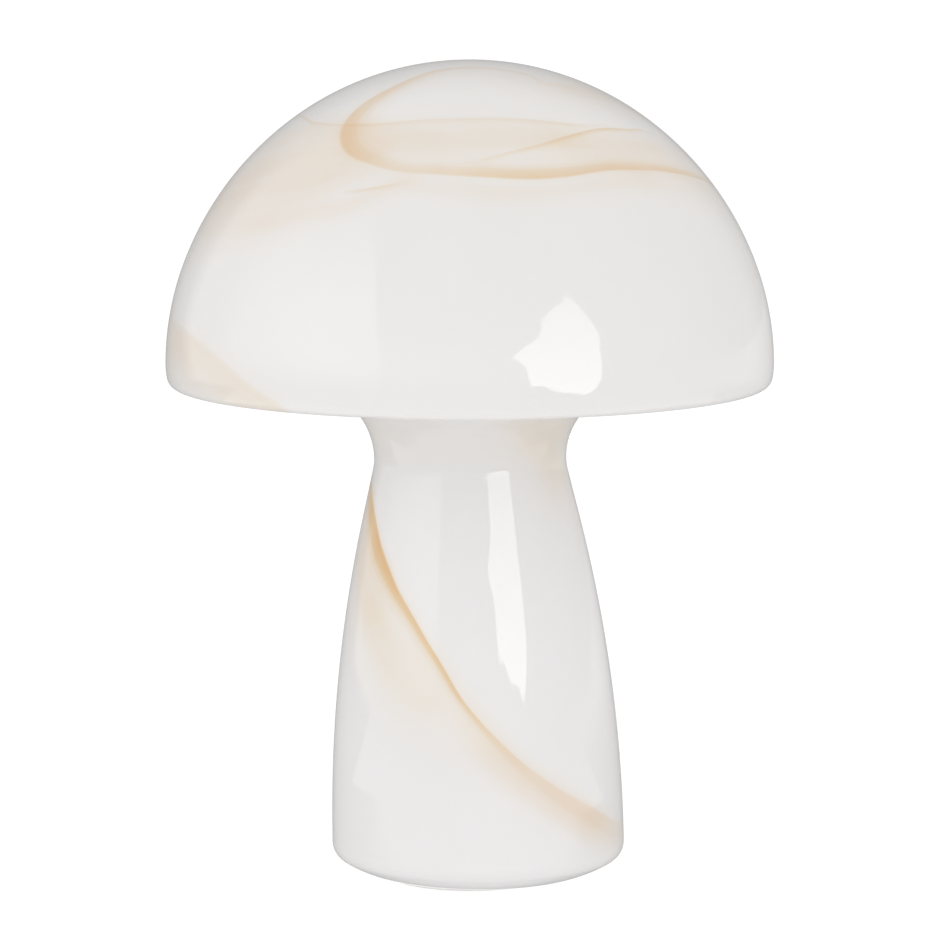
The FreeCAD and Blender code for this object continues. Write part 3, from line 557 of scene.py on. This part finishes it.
lay_thread(
    shade_glass,
    "back",
    over_dome(
        (-30, 96), (-12, 92), (14, 84), (38, 66), (50, 44), (44, 24), (24, 14), (0, 20),
        (-22, 36), (-46, 52), (-72, 62), (-92, 56),
    ),
    widths=(1.6, 2.4, 3.4, 4.8, 4.6, 3.6, 2.8, 2.0, 1.4),
    depths=(0, 0.5, 0.7, 0.9, 0.75, 0.6, 0.6, 0.4, 0),
)
lay_thread(
    shade_glass,
    "back_low",
    round_wall(
        shade_trail,
        (95, 232), (118, 216), (140, 206), (160, 202), (182, 206), (204, 216), (222, 230),
    ),
    widths=(0.8, 1.6, 4.2, 1.8, 0.8),
    depths=(0, 0.4, 0.6, 0.4, 0),
)

# %% [markdown]
# The haze on the shade lies inside and beside the threads. It is widest on the left
# of the dome, where the loop was pulled out of it, and each wisp is drawn along a
# line of its own. The last three are on the back.

# %% Haze on the shade
lay_haze(
    shade_glass,
    (over_dome((-44, -57), (-60, -49), (-76, -34), (-88, -11), (-92, 16)),
     11, (0.3, 0.32, 0.3, 0.26, 0.1), 0.3),
    (over_dome((-44, -48), (-56, -36), (-70, -20), (-80, 4)),
     7, (0.16, 0.2, 0.14, 0.06), 0.3),
    (over_dome((-34, -68), (-50, -66), (-66, -57), (-82, -40), (-93, -19), (-98, 8)),
     7, (0.16, 0.22, 0.22, 0.1), 0.35),
    (over_dome((-22, -79), (-40, -79), (-55, -72.6), (-76, -56), (-97, -20)),
     5, (0.1, 0.16, 0.16, 0.1), 0.35),
    (over_dome((-52, -76), (-68, -67), (-84, -50), (-99, -20)),
     7, (0.0, 0.08, 0.12, 0.1), 0.4),
    (over_dome((-38, -54), (-28, -63), (-12, -70), (4, -72)),
     7, (0.22, 0.24, 0.14, 0.06), 0.2),
    (over_dome((-26, -60), (4, -66), (32, -61)),
     8.5, (0.1, 0.2, 0.22), 0.25),
    (over_dome((22, -66), (40, -58), (56, -46), (70, -28), (80, -6)),
     8, (0.08, 0.26, 0.26, 0.16, 0.1), 0.3),
    (over_dome((-36, -73), (-12, -83), (18, -84), (46, -70), (66, -53)),
     4.5, (0.06, 0.14, 0.14, 0.12, 0.06), 0.25),
    (over_dome((44, -68), (60, -54), (78, -34), (94, 0)),
     9, (0.06, 0.2, 0.2, 0.08), 0.4),
    (over_dome((20, -32), (36, -24), (50, -12), (66, 10)),
     9, (0.06, 0.26, 0.26, 0.08), 0.5),
    (over_dome((-30, -34), (-8, -26), (14, -26)),
     6, (0.08, 0.08, 0.04), 0.4),
    (round_wall(shade_trail, (-130, 203), (-96, 198), (-76, 195), (-62, 191), (-52, 185)),
     11, (0.04, 0.1, 0.1), 0.2),
    (over_dome((38, 66), (56, 40), (50, 16)),
     13, (0.1, 0.34, 0.2), 0.5),
    (over_dome((30, 30), (4, 36), (-26, 52), (-60, 70)),
     10, (0.1, 0.3, 0.3, 0.1), 0.5),
    (round_wall(shade_trail, (110, 214), (140, 200), (165, 196), (200, 206)),
     9, (0.06, 0.3, 0.3, 0.06), 0.5),
)

# %% [markdown]
# ## The thread on the stem
# The stem has one bold thread. It comes round the waist from behind, is deep amber
# at the left edge, thins to a hair on its way down, and melts into a broad band as
# it leaves to the right. It ends just behind that edge, low at the heel. A second,
# fainter thread crosses the back. Places on the stem lean with it.

# %% Thread on the stem
def on_stem(*places):
    """Points on the leaning stem, from (angle from the front, height)."""
    return leaning(round_wall(stem_trail, *places))


lay_thread(
    stem_glass,
    "ribbon",
    on_stem(
        (-215, 172), (-170, 168), (-130, 160), (-100, 153), (-75, 142.5), (-65.4, 135),
        (-54.8, 125), (-45.5, 117), (-38.4, 110.3), (-29, 101.7), (-21.2, 93.2), (-14.3, 85.2),
        (-7, 75.2), (0.6, 66.5), (7.2, 59.8), (16.3, 51.2), (24, 45), (35.7, 37), (53, 28.3),
        (68, 22), (95, 16),
    ),
    widths=(2.0, 3.4, 4.4, 5.0, 4.8, 3.0, 2.0, 1.6, 1.4, 1.8, 2.8, 4.6, 5.6, 5.4),
    depths=(0, 0.5, 0.8, 1.1, 1.4, 1.35, 1.1, 0.85, 0.62, 0.42, 0.3, 0.26, 0.26, 0),
)
lay_thread(
    stem_glass,
    "stem_back",
    on_stem((105, 150), (125, 128), (148, 104), (172, 86), (198, 70), (226, 52), (250, 34)),
    widths=(1.4, 2.4, 3.8, 2.4, 1.4, 1.0),
    depths=(0, 0.6, 0.85, 0.7, 0.5, 0),
)

# %% [markdown]
# On the stem the haze follows the thread on its lower left. More of it lies round
# the waist, on the right shoulder and on the back.

# %% Haze on the stem
lay_haze(
    stem_glass,
    (on_stem((-96, 136), (-76, 124), (-62, 112), (-50, 101), (-36, 87), (-22, 74)),
     9, (0.12, 0.28, 0.34, 0.24, 0.08), 0.12),
    (on_stem((-80, 104), (-60, 92), (-42, 80), (-22, 66), (-4, 50)),
     12, (0.02, 0.07, 0.08, 0.07, 0.02), 0.12),
    (on_stem((-46, 118), (-31, 102), (-16, 85), (-2, 69), (14, 52), (32, 39), (52, 27)),
     5.5, (0.1, 0.16, 0.16, 0.14), 0.12),
    (on_stem((-20, 76), (2, 56), (22, 40), (44, 27), (74, 16)),
     6.5, (0.04, 0.16, 0.2, 0.2, 0.1), 0.15),
    (on_stem((-110, 172), (-60, 168), (0, 168), (60, 170), (110, 172)),
     11, (0.2, 0.1, 0.06, 0.16, 0.2), 0.15),
    (on_stem((20, 180), (44, 164), (70, 148), (100, 136)),
     10, (0.04, 0.2, 0.2, 0.06), 0.2),
    (on_stem((130, 118), (165, 84), (210, 58)),
     13, (0.06, 0.3, 0.06), 0.4),
    (on_stem((-160, 176), (-125, 150), (-100, 132)),
     12, (0.06, 0.25, 0.1), 0.4),
)

# %% [markdown]
# ## A small kit for finishes
# Each finish is a node tree with one Principled shader. The helper makes a node,
# sets its plain values, and links the rest, so a finish reads as a short list.

# %% Node helpers
def new_finish(name, **values):
    """A material, with plain values set on its shader's own sockets."""
    finish = bpy.data.materials.new(name)
    finish.use_nodes = True
    shader = finish.node_tree.nodes["Principled BSDF"]
    for socket, value in values.items():
        shader.inputs[socket.replace("_", " ")].default_value = value
    return finish


def add_node(finish, kind, settings=(), **inputs):
    """A node. Its inputs go by their names, or by n and their number."""
    node = finish.node_tree.nodes.new(f"ShaderNode{kind}")
    for key, value in dict(settings).items():
        setattr(node, key, value)
    for name, value in inputs.items():
        socket = node.inputs[int(name[1:])] if name[1:].isdigit() else node.inputs[name]
        if isinstance(value, bpy.types.NodeSocket):
            finish.node_tree.links.new(value, socket)
        else:
            socket.default_value = value
    return node


def connect(finish, **sockets):
    """Links sockets to the shader's inputs."""
    shader = finish.node_tree.nodes["Principled BSDF"]
    for name, source in sockets.items():
        finish.node_tree.links.new(source, shader.inputs[name.replace("_", " ")])


# %% [markdown]
# No real surface is quite even. What varies it is noise, read at the piece's own
# coordinates, which is brought to the range that a colour, a roughness or a bump
# needs. These helpers do the sums for that.

# %% Sums, noise and bumps
NOISE_MIDDLE = (0.3, 0.7)


def calculate(finish, operation, first, second):
    """One sum of numbers or sockets."""
    return add_node(finish, "Math", {"operation": operation}, n0=first, n1=second).outputs[0]


def scaled(finish, value, low, high, to_low=0.0, to_high=1.0):
    """A value brought from one range to another, and held within it."""
    return add_node(
        finish, "MapRange", n0=value, n1=low, n2=high, n3=to_low, n4=to_high
    ).outputs[0]


def noise(finish, scale, detail=3.0, stretch=(1, 1, 1), distortion=0.0):
    """Noise on the piece's own coordinates."""
    place = add_node(finish, "TexCoord").outputs["Object"]
    spread = add_node(finish, "Mapping", Vector=place, Scale=stretch).outputs[0]
    return add_node(
        finish, "TexNoise", Vector=spread, Scale=scale, Detail=detail, Distortion=distortion
    ).outputs["Fac"]


def wander(finish, scale, low, high, **kind):
    """Noise that wanders from one value to another."""
    return scaled(finish, noise(finish, scale, **kind), *NOISE_MIDDLE, low, high)


def blend(finish, amount, first, second):
    """A mix of two colours."""
    return add_node(
        finish, "Mix", {"data_type": "RGBA"}, n0=amount, n6=(*first, 1), n7=(*second, 1)
    ).outputs[2]


def bump(finish, height, depth, strength):
    """A bump from a height that goes from 0 to 1, and is depth deep."""
    return add_node(
        finish, "Bump", Height=height, Distance=depth, Strength=strength
    ).outputs["Normal"]


# %% [markdown]
# ## Swirled opal glass
# Opal glass is milky because it is full of tiny crystals that scatter light, so
# light sinks in and comes out nearby. That is what the subsurface part of the
# shader does. Over it lies a clear, very smooth skin, a little wavy where the glass
# met the mould.
#
# Across a thread, a profile says how deep its colour is: it rises slowly on the soft
# side and ends abruptly on the crisp side, as a rope of glass does when it is
# dragged flat. The profile is a colour ramp over the place across the thread.

# %% Profile of a thread
PROFILE = (
    (-5, 0), (-2.8, 0.1), (-1.5, 0.32), (-0.95, 0.64), (-0.2, 0.84), (0.7, 1), (1.0, 0.7),
    (1.3, 0.1), (2.5, 0),
)


def across_thread(finish, place):
    """The share of a thread's depth at a place across it."""
    lowest, highest = PROFILE[0][0], PROFILE[-1][0]
    ramp = add_node(finish, "ValToRGB", Fac=scaled(finish, place, lowest, highest))
    ramp.color_ramp.interpolation = "EASE"
    stops = ramp.color_ramp.elements
    stops[0].color = stops[1].color = (0, 0, 0, 1)
    for spot, share in PROFILE[1:-1]:
        stops.new((spot - lowest) / (highest - lowest)).color = (share, share, share, 1)
    return ramp.outputs["Color"]


def remembered(finish, name):
    """A number that the glass has stored on its vertices."""
    return add_node(finish, "Attribute", {"attribute_name": name}).outputs["Fac"]


print("the profile has", len(PROFILE), "stops")

# %% [markdown]
# The amber is clear glass. Each step of depth lets the same share of each colour
# through, so the share is raised to the power of the depth. A thin haze is beige
# and a thick thread deep gold, all from one colour, which drifts a little between
# amber and peach. The depths of the haze and of all threads are added up first.

# %% Opal glass
SHADE_MILK = (0.75, 0.735, 0.727)
STEM_MILK = (0.752, 0.74, 0.74)
AMBER_LETS_THROUGH = (0.91, 0.69, 0.43)
PEACH_LETS_THROUGH = (0.9, 0.67, 0.5)
GLASS = {
    "IOR": 1.5,
    "Subsurface_Weight": 0.25,
    "Subsurface_Scale": 0.005,
    "Subsurface_Radius": (1.0, 0.9, 0.8),
}
SHADE_THREADS = ("loop", "fine", "arch", "wisp", "skirt", "back", "back_low")
STEM_THREADS = ("ribbon", "stem_back")


def opal_glass(name, milk, threads):
    """White glass with its haze and its threads."""
    finish = new_finish(name, **GLASS)
    sway = wander(finish, 14, -0.25, 0.25, detail=2)
    uneven = wander(finish, 26, 0.75, 1.2)
    haze_uneven = wander(finish, 38, 0.8, 1.15, detail=4, distortion=0.6)

    depth = calculate(finish, "MULTIPLY", remembered(finish, "haze"), haze_uneven)
    for thread in threads:
        place = calculate(finish, "ADD", remembered(finish, thread), sway)
        share = calculate(finish, "MULTIPLY", across_thread(finish, place), uneven)
        added = calculate(finish, "MULTIPLY", share, remembered(finish, f"{thread}_depth"))
        depth = calculate(finish, "ADD", depth, added)

    peachy = scaled(finish, noise(finish, 8, detail=1), 0.45, 0.75)
    through = blend(finish, peachy, AMBER_LETS_THROUGH, PEACH_LETS_THROUGH)
    parts = add_node(finish, "SeparateColor", Color=through)
    cloud = wander(finish, 12, 0.985, 1.01)
    shades = {}
    for part, white in zip(("Red", "Green", "Blue"), milk):
        left = calculate(finish, "POWER", parts.outputs[part], depth)
        clouded = calculate(finish, "MULTIPLY", cloud, white)
        shades[part] = calculate(finish, "MULTIPLY", left, clouded)

    connect(
        finish,
        Base_Color=add_node(finish, "CombineColor", **shades).outputs[0],
        Roughness=scaled(finish, noise(finish, 60, detail=3), 0.2, 0.9, 0.03, 0.06),
        Normal=bump(finish, noise(finish, 16, detail=1), 0.3 * MM, 0.6),
    )
    return finish


shade_finish = opal_glass("opal glass, shade", SHADE_MILK, SHADE_THREADS)
stem_finish = opal_glass("opal glass, stem", STEM_MILK, STEM_THREADS)
print("threads on the glass:", len(SHADE_THREADS) + len(STEM_THREADS))

# %% [markdown]
# ## The other finishes
# From the front, none of these show while the shade is on, but the shade lifts off.
# Bare metal has a fine grain and is a little duller in places. In strip, springs and
# thin sheet the grain runs in lines, as the rolling mill left it: there the noise is
# stretched one way.

# %% Metal finishes
TARNISHED = 0.72


def metal(name, colour, roughness, grain, depth, stretch=(1, 1, 1)):
    """Bare metal with a fine grain, which may run in lines."""
    finish = new_finish(name, Metallic=1.0)
    lines = noise(finish, grain, detail=4, stretch=stretch)
    dull = noise(finish, 90, detail=3)
    darker = tuple(TARNISHED * part for part in colour)
    connect(
        finish,
        Base_Color=blend(finish, scaled(finish, dull, 0.35, 0.7), darker, colour),
        Roughness=scaled(finish, lines, 0.0, 1.0, 0.7 * roughness, 1.4 * roughness),
        Normal=bump(finish, lines, depth, 0.5),
    )
    return finish


zinc = metal("bright zinc plate", (0.66, 0.67, 0.69), 0.26, 700, 0.02 * MM)
spring_steel = metal("spring steel", (0.50, 0.51, 0.53), 0.22, 900, 0.015 * MM, (1, 1, 0.1))
nickel = metal("nickel sheet", (0.78, 0.76, 0.72), 0.16, 400, 0.02 * MM, (1, 1, 6))
brass = metal("turned brass", (0.80, 0.60, 0.28), 0.24, 600, 0.02 * MM)
bronze = metal("rolled bronze strip", (0.72, 0.46, 0.26), 0.28, 800, 0.015 * MM, (0.1, 1, 1))
solder = metal("dull solder", (0.56, 0.56, 0.57), 0.45, 350, 0.08 * MM)
metals = (zinc, spring_steel, nickel, brass, bronze, solder)
print("metals:", ", ".join(finish.name for finish in metals))

# %% [markdown]
# The other pieces are moulded, fired or soft. Moulded parts have a slight grain,
# fired ceramic has tiny pits, and soft silicone a misty skin. What tells them apart
# is how rough the surface is, how fine its grain is, and whether light sinks in.

# %% Moulded, fired and soft finishes
def solid(name, colour, roughness, grain, depth, **extra):
    """An opaque material with a fine grain."""
    finish = new_finish(name, **extra)
    pits = noise(finish, grain, detail=4)
    mottle = noise(finish, 45, detail=2)
    lighter = tuple(min(1.0, 1.06 * part) for part in colour)
    darker = tuple(0.93 * part for part in colour)
    connect(
        finish,
        Base_Color=blend(finish, mottle, darker, lighter),
        Roughness=scaled(finish, pits, 0.0, 1.0, 0.85 * roughness, 1.2 * roughness),
        Normal=bump(finish, pits, depth, 0.6),
    )
    return finish


holder_plastic = solid(
    "white holder plastic", (0.80, 0.78, 0.74), 0.38, 1500, 0.03 * MM,
    Subsurface_Weight=0.1, Subsurface_Scale=0.001,
)
ceramic = solid("unglazed ceramic", (0.84, 0.81, 0.75), 0.62, 1100, 0.06 * MM)
silicone = solid(
    "clear silicone", (0.80, 0.80, 0.78), 0.34, 500, 0.03 * MM,
    Subsurface_Weight=0.15, Subsurface_Scale=0.002,
)
rubber = solid("white rubber", (0.78, 0.77, 0.74), 0.55, 900, 0.04 * MM)
phosphor = solid("yellow phosphor", (0.85, 0.55, 0.10), 0.6, 2500, 0.05 * MM)
board = solid("lacquered board", (0.03, 0.20, 0.09), 0.25, 1200, 0.03 * MM)
black_glass = solid("black glass", (0.012, 0.012, 0.014), 0.08, 300, 0.02 * MM)
others = (holder_plastic, ceramic, silicone, rubber, phosphor, board, black_glass)
print("others:", ", ".join(finish.name for finish in others))

# %% [markdown]
# Clear glass lets light through, so it needs transmission and a true index of
# refraction. A trace of unevenness keeps it from looking like plastic wrap.

# %% Clear glass
clear_glass = new_finish("clear bulb glass", IOR=1.5, Transmission_Weight=1.0)
wave = noise(clear_glass, 60, detail=1)
connect(
    clear_glass,
    Base_Color=blend(clear_glass, wave, (0.97, 0.985, 0.98), (1, 1, 1)),
    Roughness=scaled(clear_glass, wave, 0.0, 1.0, 0.0, 0.02),
    Normal=bump(clear_glass, wave, 0.05 * MM, 0.4),
)
print("see-through finish:", clear_glass.name)

# %% [markdown]
# ## Finish every piece
# The new glass takes its finishes and stands for the CAD glass, which stays only
# for contact and weight. Every other CAD piece keeps its shape and gets its finish
# in its own material slot.

# %% Assign the finishes
CAD_FINISHES = {
    silicone: ("foot_ring", "lip_gasket", "plate_edge_seal"),
    rubber: ("cord_grommet",),
    zinc: ("gallery_plate", "clip_screws", "clip_nuts"),
    spring_steel: ("spring_clip_1", "spring_clip_2", "spring_clip_3"),
    holder_plastic: ("holder_tube", "holder_ring_lower", "holder_ring_upper", "holder_cover"),
    ceramic: ("holder_core",),
    brass: ("terminal_screws",),
    bronze: ("centre_contact", "side_contact"),
    nickel: ("bulb_cap", "filament_wires"),
    solder: ("bulb_tip",),
    black_glass: ("bulb_insulator",),
    clear_glass: ("filament_mount",),
    phosphor: ("led_filaments",),
    board: ("driver_board",),
}
for finish, names in CAD_FINISHES.items():
    for name in names:
        for slot in nodes[name].material_slots:
            slot.material = finish

NEW_PIECES = (
    (shade_glass, shade_finish, "shade", "shade", "opal_glass"),
    (stem_glass, stem_finish, "base", "base_body", "opal_glass"),
    (bulb_glass, clear_glass, "bulb", "bulb_globe", "clear_glass"),
)
for piece, finish, body, node, slot_name in NEW_PIECES:
    piece.data.materials.append(finish)
    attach(piece, body)
    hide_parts(node)
print("new pieces:", len(NEW_PIECES))

# %% [markdown]
# ## Table and studio light
# White glass on a white table needs light from all round, or it turns grey. The
# table glows a little, as a light table does, and the sky of the studio is bright
# in front and softer overhead, behind and on the right.

# %% Table
TABLE_R = 14
TABLE_GLOW = 0.86

bpy.ops.object.select_all(action="DESELECT")
bpy.ops.mesh.primitive_circle_add(vertices=96, radius=TABLE_R, fill_type="NGON")
table = bpy.context.object
table.name = "table"
table_finish = new_finish(
    "pale table",
    Roughness=0.7,
    Specular_IOR_Level=0.0,
    Emission_Color=(1, 1, 1, 1),
    Emission_Strength=TABLE_GLOW,
)
flecks = noise(table_finish, 3, detail=2)
flecked = blend(table_finish, flecks, (0.20, 0.20, 0.20), (0.21, 0.21, 0.21))
connect(table_finish, Base_Color=flecked)
table.data.materials.append(table_finish)
print("table is", table.dimensions.x, "m wide")

# %% [markdown]
# The sky is a world shader: the direction that a ray leaves in picks its
# brightness, from the front to the back and from the horizon up. A share of the way
# to the right counts as backwards, so the right is a little darker than the left.

# %% Studio sky
SKY_STRENGTH = 1.25
FRONT = (1.12, 1.12, 1.12, 1)
BEHIND = (0.62, 0.61, 0.60, 1)
OVERHEAD = (0.77, 0.76, 0.75, 1)
RIGHT_SHARE = 0.25
FRONT_TO_BACK = (-1.0, 0.8)
LOW_TO_HIGH = (0.15, 0.95)

world = bpy.data.worlds.new("studio")
bpy.context.scene.world = world
world.use_nodes = True
way = add_node(world, "TexCoord").outputs["Generated"]
way_parts = add_node(world, "SeparateXYZ", Vector=way)
sideways = calculate(world, "MULTIPLY", way_parts.outputs["X"], RIGHT_SHARE)
slanted = calculate(world, "ADD", way_parts.outputs["Y"], sideways)
backwards = scaled(world, slanted, *FRONT_TO_BACK)
upwards = scaled(world, way_parts.outputs["Z"], *LOW_TO_HIGH)
mix = {"data_type": "RGBA"}
level = add_node(world, "Mix", mix, n0=backwards, n6=FRONT, n7=BEHIND).outputs[2]
sky = add_node(world, "Mix", mix, n0=upwards, n6=level, n7=OVERHEAD).outputs[2]
background = world.node_tree.nodes["Background"]
background.inputs["Strength"].default_value = SKY_STRENGTH
world.node_tree.links.new(sky, background.inputs["Color"])
bpy.context.scene.view_settings.view_transform = "Standard"
print("sky is", SKY_STRENGTH, "bright in front")

# %% [markdown]
# ## Light cards
# What tells the eye that glass is polished is what it mirrors. Cards stand round the
# lamp for that, and only reflections see them. They could be area lamps, but a card
# can have any outline. It glows without shading, and may fade out along its own
# axes, so that its mirror image has no hard end. The pen draws the outlines.

# %% Light cards
CORNERS_MEET = 0.1 * MM


def glow_only_in_reflections(card, brightness, fades):
    """Makes a card glow. It fades from full to gone along its own axes."""
    glow = bpy.data.materials.new(card.name)
    glow.use_nodes = True
    glow.node_tree.nodes.clear()
    place = add_node(glow, "SeparateXYZ", Vector=add_node(glow, "TexCoord").outputs["Object"])
    light = add_node(glow, "Emission", Strength=brightness).outputs[0]
    share = 1.0
    for axis, full, gone in fades:
        fade = scaled(glow, place.outputs[axis], full, gone, 1.0, 0.0)
        share = calculate(glow, "MULTIPLY", share, fade)
    clear = add_node(glow, "BsdfTransparent").outputs[0]
    mixed = add_node(glow, "MixShader", n0=share, n1=clear, n2=light).outputs[0]
    add_node(glow, "OutputMaterial", Surface=mixed)
    card.data.materials.append(glow)
    card.visible_camera = card.visible_diffuse = card.visible_transmission = False
    card.visible_shadow = False
    print(card.name, "glows", brightness)


def draw_places(name, places):
    """A pen that has drawn straight runs from place to place."""
    pen = Pen(name, *places[0])
    for place in places[1:]:
        pen.to(*place)
    return pen


def standing_card(name, outline, turn, distance):
    """A flat card that faces the lamp, turn degrees right of the front."""
    card = draw_places(name, outline).piece
    bpy.ops.mesh.select_all(action="SELECT")
    bpy.ops.mesh.remove_doubles(threshold=CORNERS_MEET)
    bpy.ops.mesh.edge_face_add()
    bpy.ops.object.mode_set(mode="OBJECT")
    turn = math.radians(turn)
    card.location = (distance * math.sin(turn), -distance * math.cos(turn), 0)
    card.rotation_euler.z = turn
    return card


# %% [markdown]
# On the right, sun falls on a wall through leaves. The glass mirrors that as a bright
# patch with a ragged edge on the dome, and as a long streak on the stem.

# %% Sunlit patch
PATCH_GLOW = 4.8
PATCH_OUTLINE = (
    (0.05, 0.59), (0.07, 0.56), (0.10, 0.52), (0.13, 0.455), (0.165, 0.37), (0.15, 0.31),
    (0.155, 0.25), (0.15, 0.185), (0.11, 0.14), (0.07, 0.11), (0.02, 0.135), (-0.05, 0.14),
    (-0.11, 0.17), (-0.165, 0.17), (-0.18, 0.255), (-0.245, 0.305), (-0.17, 0.36),
    (-0.12, 0.385), (-0.10, 0.42), (-0.095, 0.475), (-0.02, 0.53), (0.02, 0.55),
)

sunlit_patch = standing_card("sunlit patch", PATCH_OUTLINE, turn=34, distance=0.7)
glow_only_in_reflections(sunlit_patch, PATCH_GLOW, fades=(("Z", 0.15, 1.1),))

# %% [markdown]
# On the left stands a tall soft box. It fades towards its far side, towards its top
# and near the table.

# %% Soft box
BOX_GLOW = 2.2
BOX_OUTLINE = (
    (0.64, 0.10), (0.63, 0.35), (0.585, 0.52), (0.495, 0.85), (0.35, 1.22), (0.16, 1.55),
    (-0.25, 1.9), (-1.2, 1.9), (-1.2, 0.1),
)
BOX_FADES = (("X", 0.1, -1.1), ("Z", 0.7, 1.9), ("Z", 0.3, 0.1))

soft_box = standing_card("soft box", BOX_OUTLINE, turn=-62, distance=1.1)
glow_only_in_reflections(soft_box, BOX_GLOW, fades=BOX_FADES)

# %% [markdown]
# White glass on a white ground needs an edge. A grey cloth hangs behind the lamp and
# lies on the table there: the rim of the glass mirrors it at a flat angle, and that
# thin grey line keeps it apart from the background. The pen draws the cloth from its
# side, extrudes it sideways, and it is turned to lie across.

# %% Grey cloth
CLOTH_WIDTH = 3.2
CLOTH_GREY = 0.4
CLOTH_SIDE = ((0.1, 0.002), (0.9, 0.002), (1.3, 0.25), (1.45, 2.4))
CLOTH_FADES = (("Z", 0.9, 2.35), ("Y", 1.4, 0.2), ("Y", 2.7, 3.2))

cloth = draw_places("grey cloth", CLOTH_SIDE).piece
bpy.ops.mesh.select_all(action="SELECT")
bpy.ops.mesh.extrude_edges_move(TRANSFORM_OT_translate={"value": (0, CLOTH_WIDTH, 0)})
bpy.ops.object.mode_set(mode="OBJECT")
cloth.location.x = CLOTH_WIDTH / 2
cloth.rotation_euler.z = math.pi / 2
glow_only_in_reflections(cloth, CLOTH_GREY, fades=CLOTH_FADES)

# %% [markdown]
# A round card of the same grey lies on the table round the foot, seen only in
# reflections. It is painted shade: the darker table near the foot that the heel
# mirrors, and it gives the heel its edge. It fades out before it comes round to the front.

# %% Painted shade round the foot
FOOT_SHADE_HOLE_R = 0.034
FOOT_SHADE_WIDTH = 0.26
FOOT_SHADE_LIFT = 0.0005

# Painted shade: a grey ring, seen only in reflections, stands for the shade on the table round
# the foot.
foot_shade_pen = Pen("painted shade round the foot", FOOT_SHADE_HOLE_R, FOOT_SHADE_LIFT)
foot_shade_pen.run(FOOT_SHADE_WIDTH)
foot_shade_card = foot_shade_pen.turn_round(sides=64)
glow_only_in_reflections(foot_shade_card, CLOTH_GREY, fades=(("Y", -0.03, -0.075),))
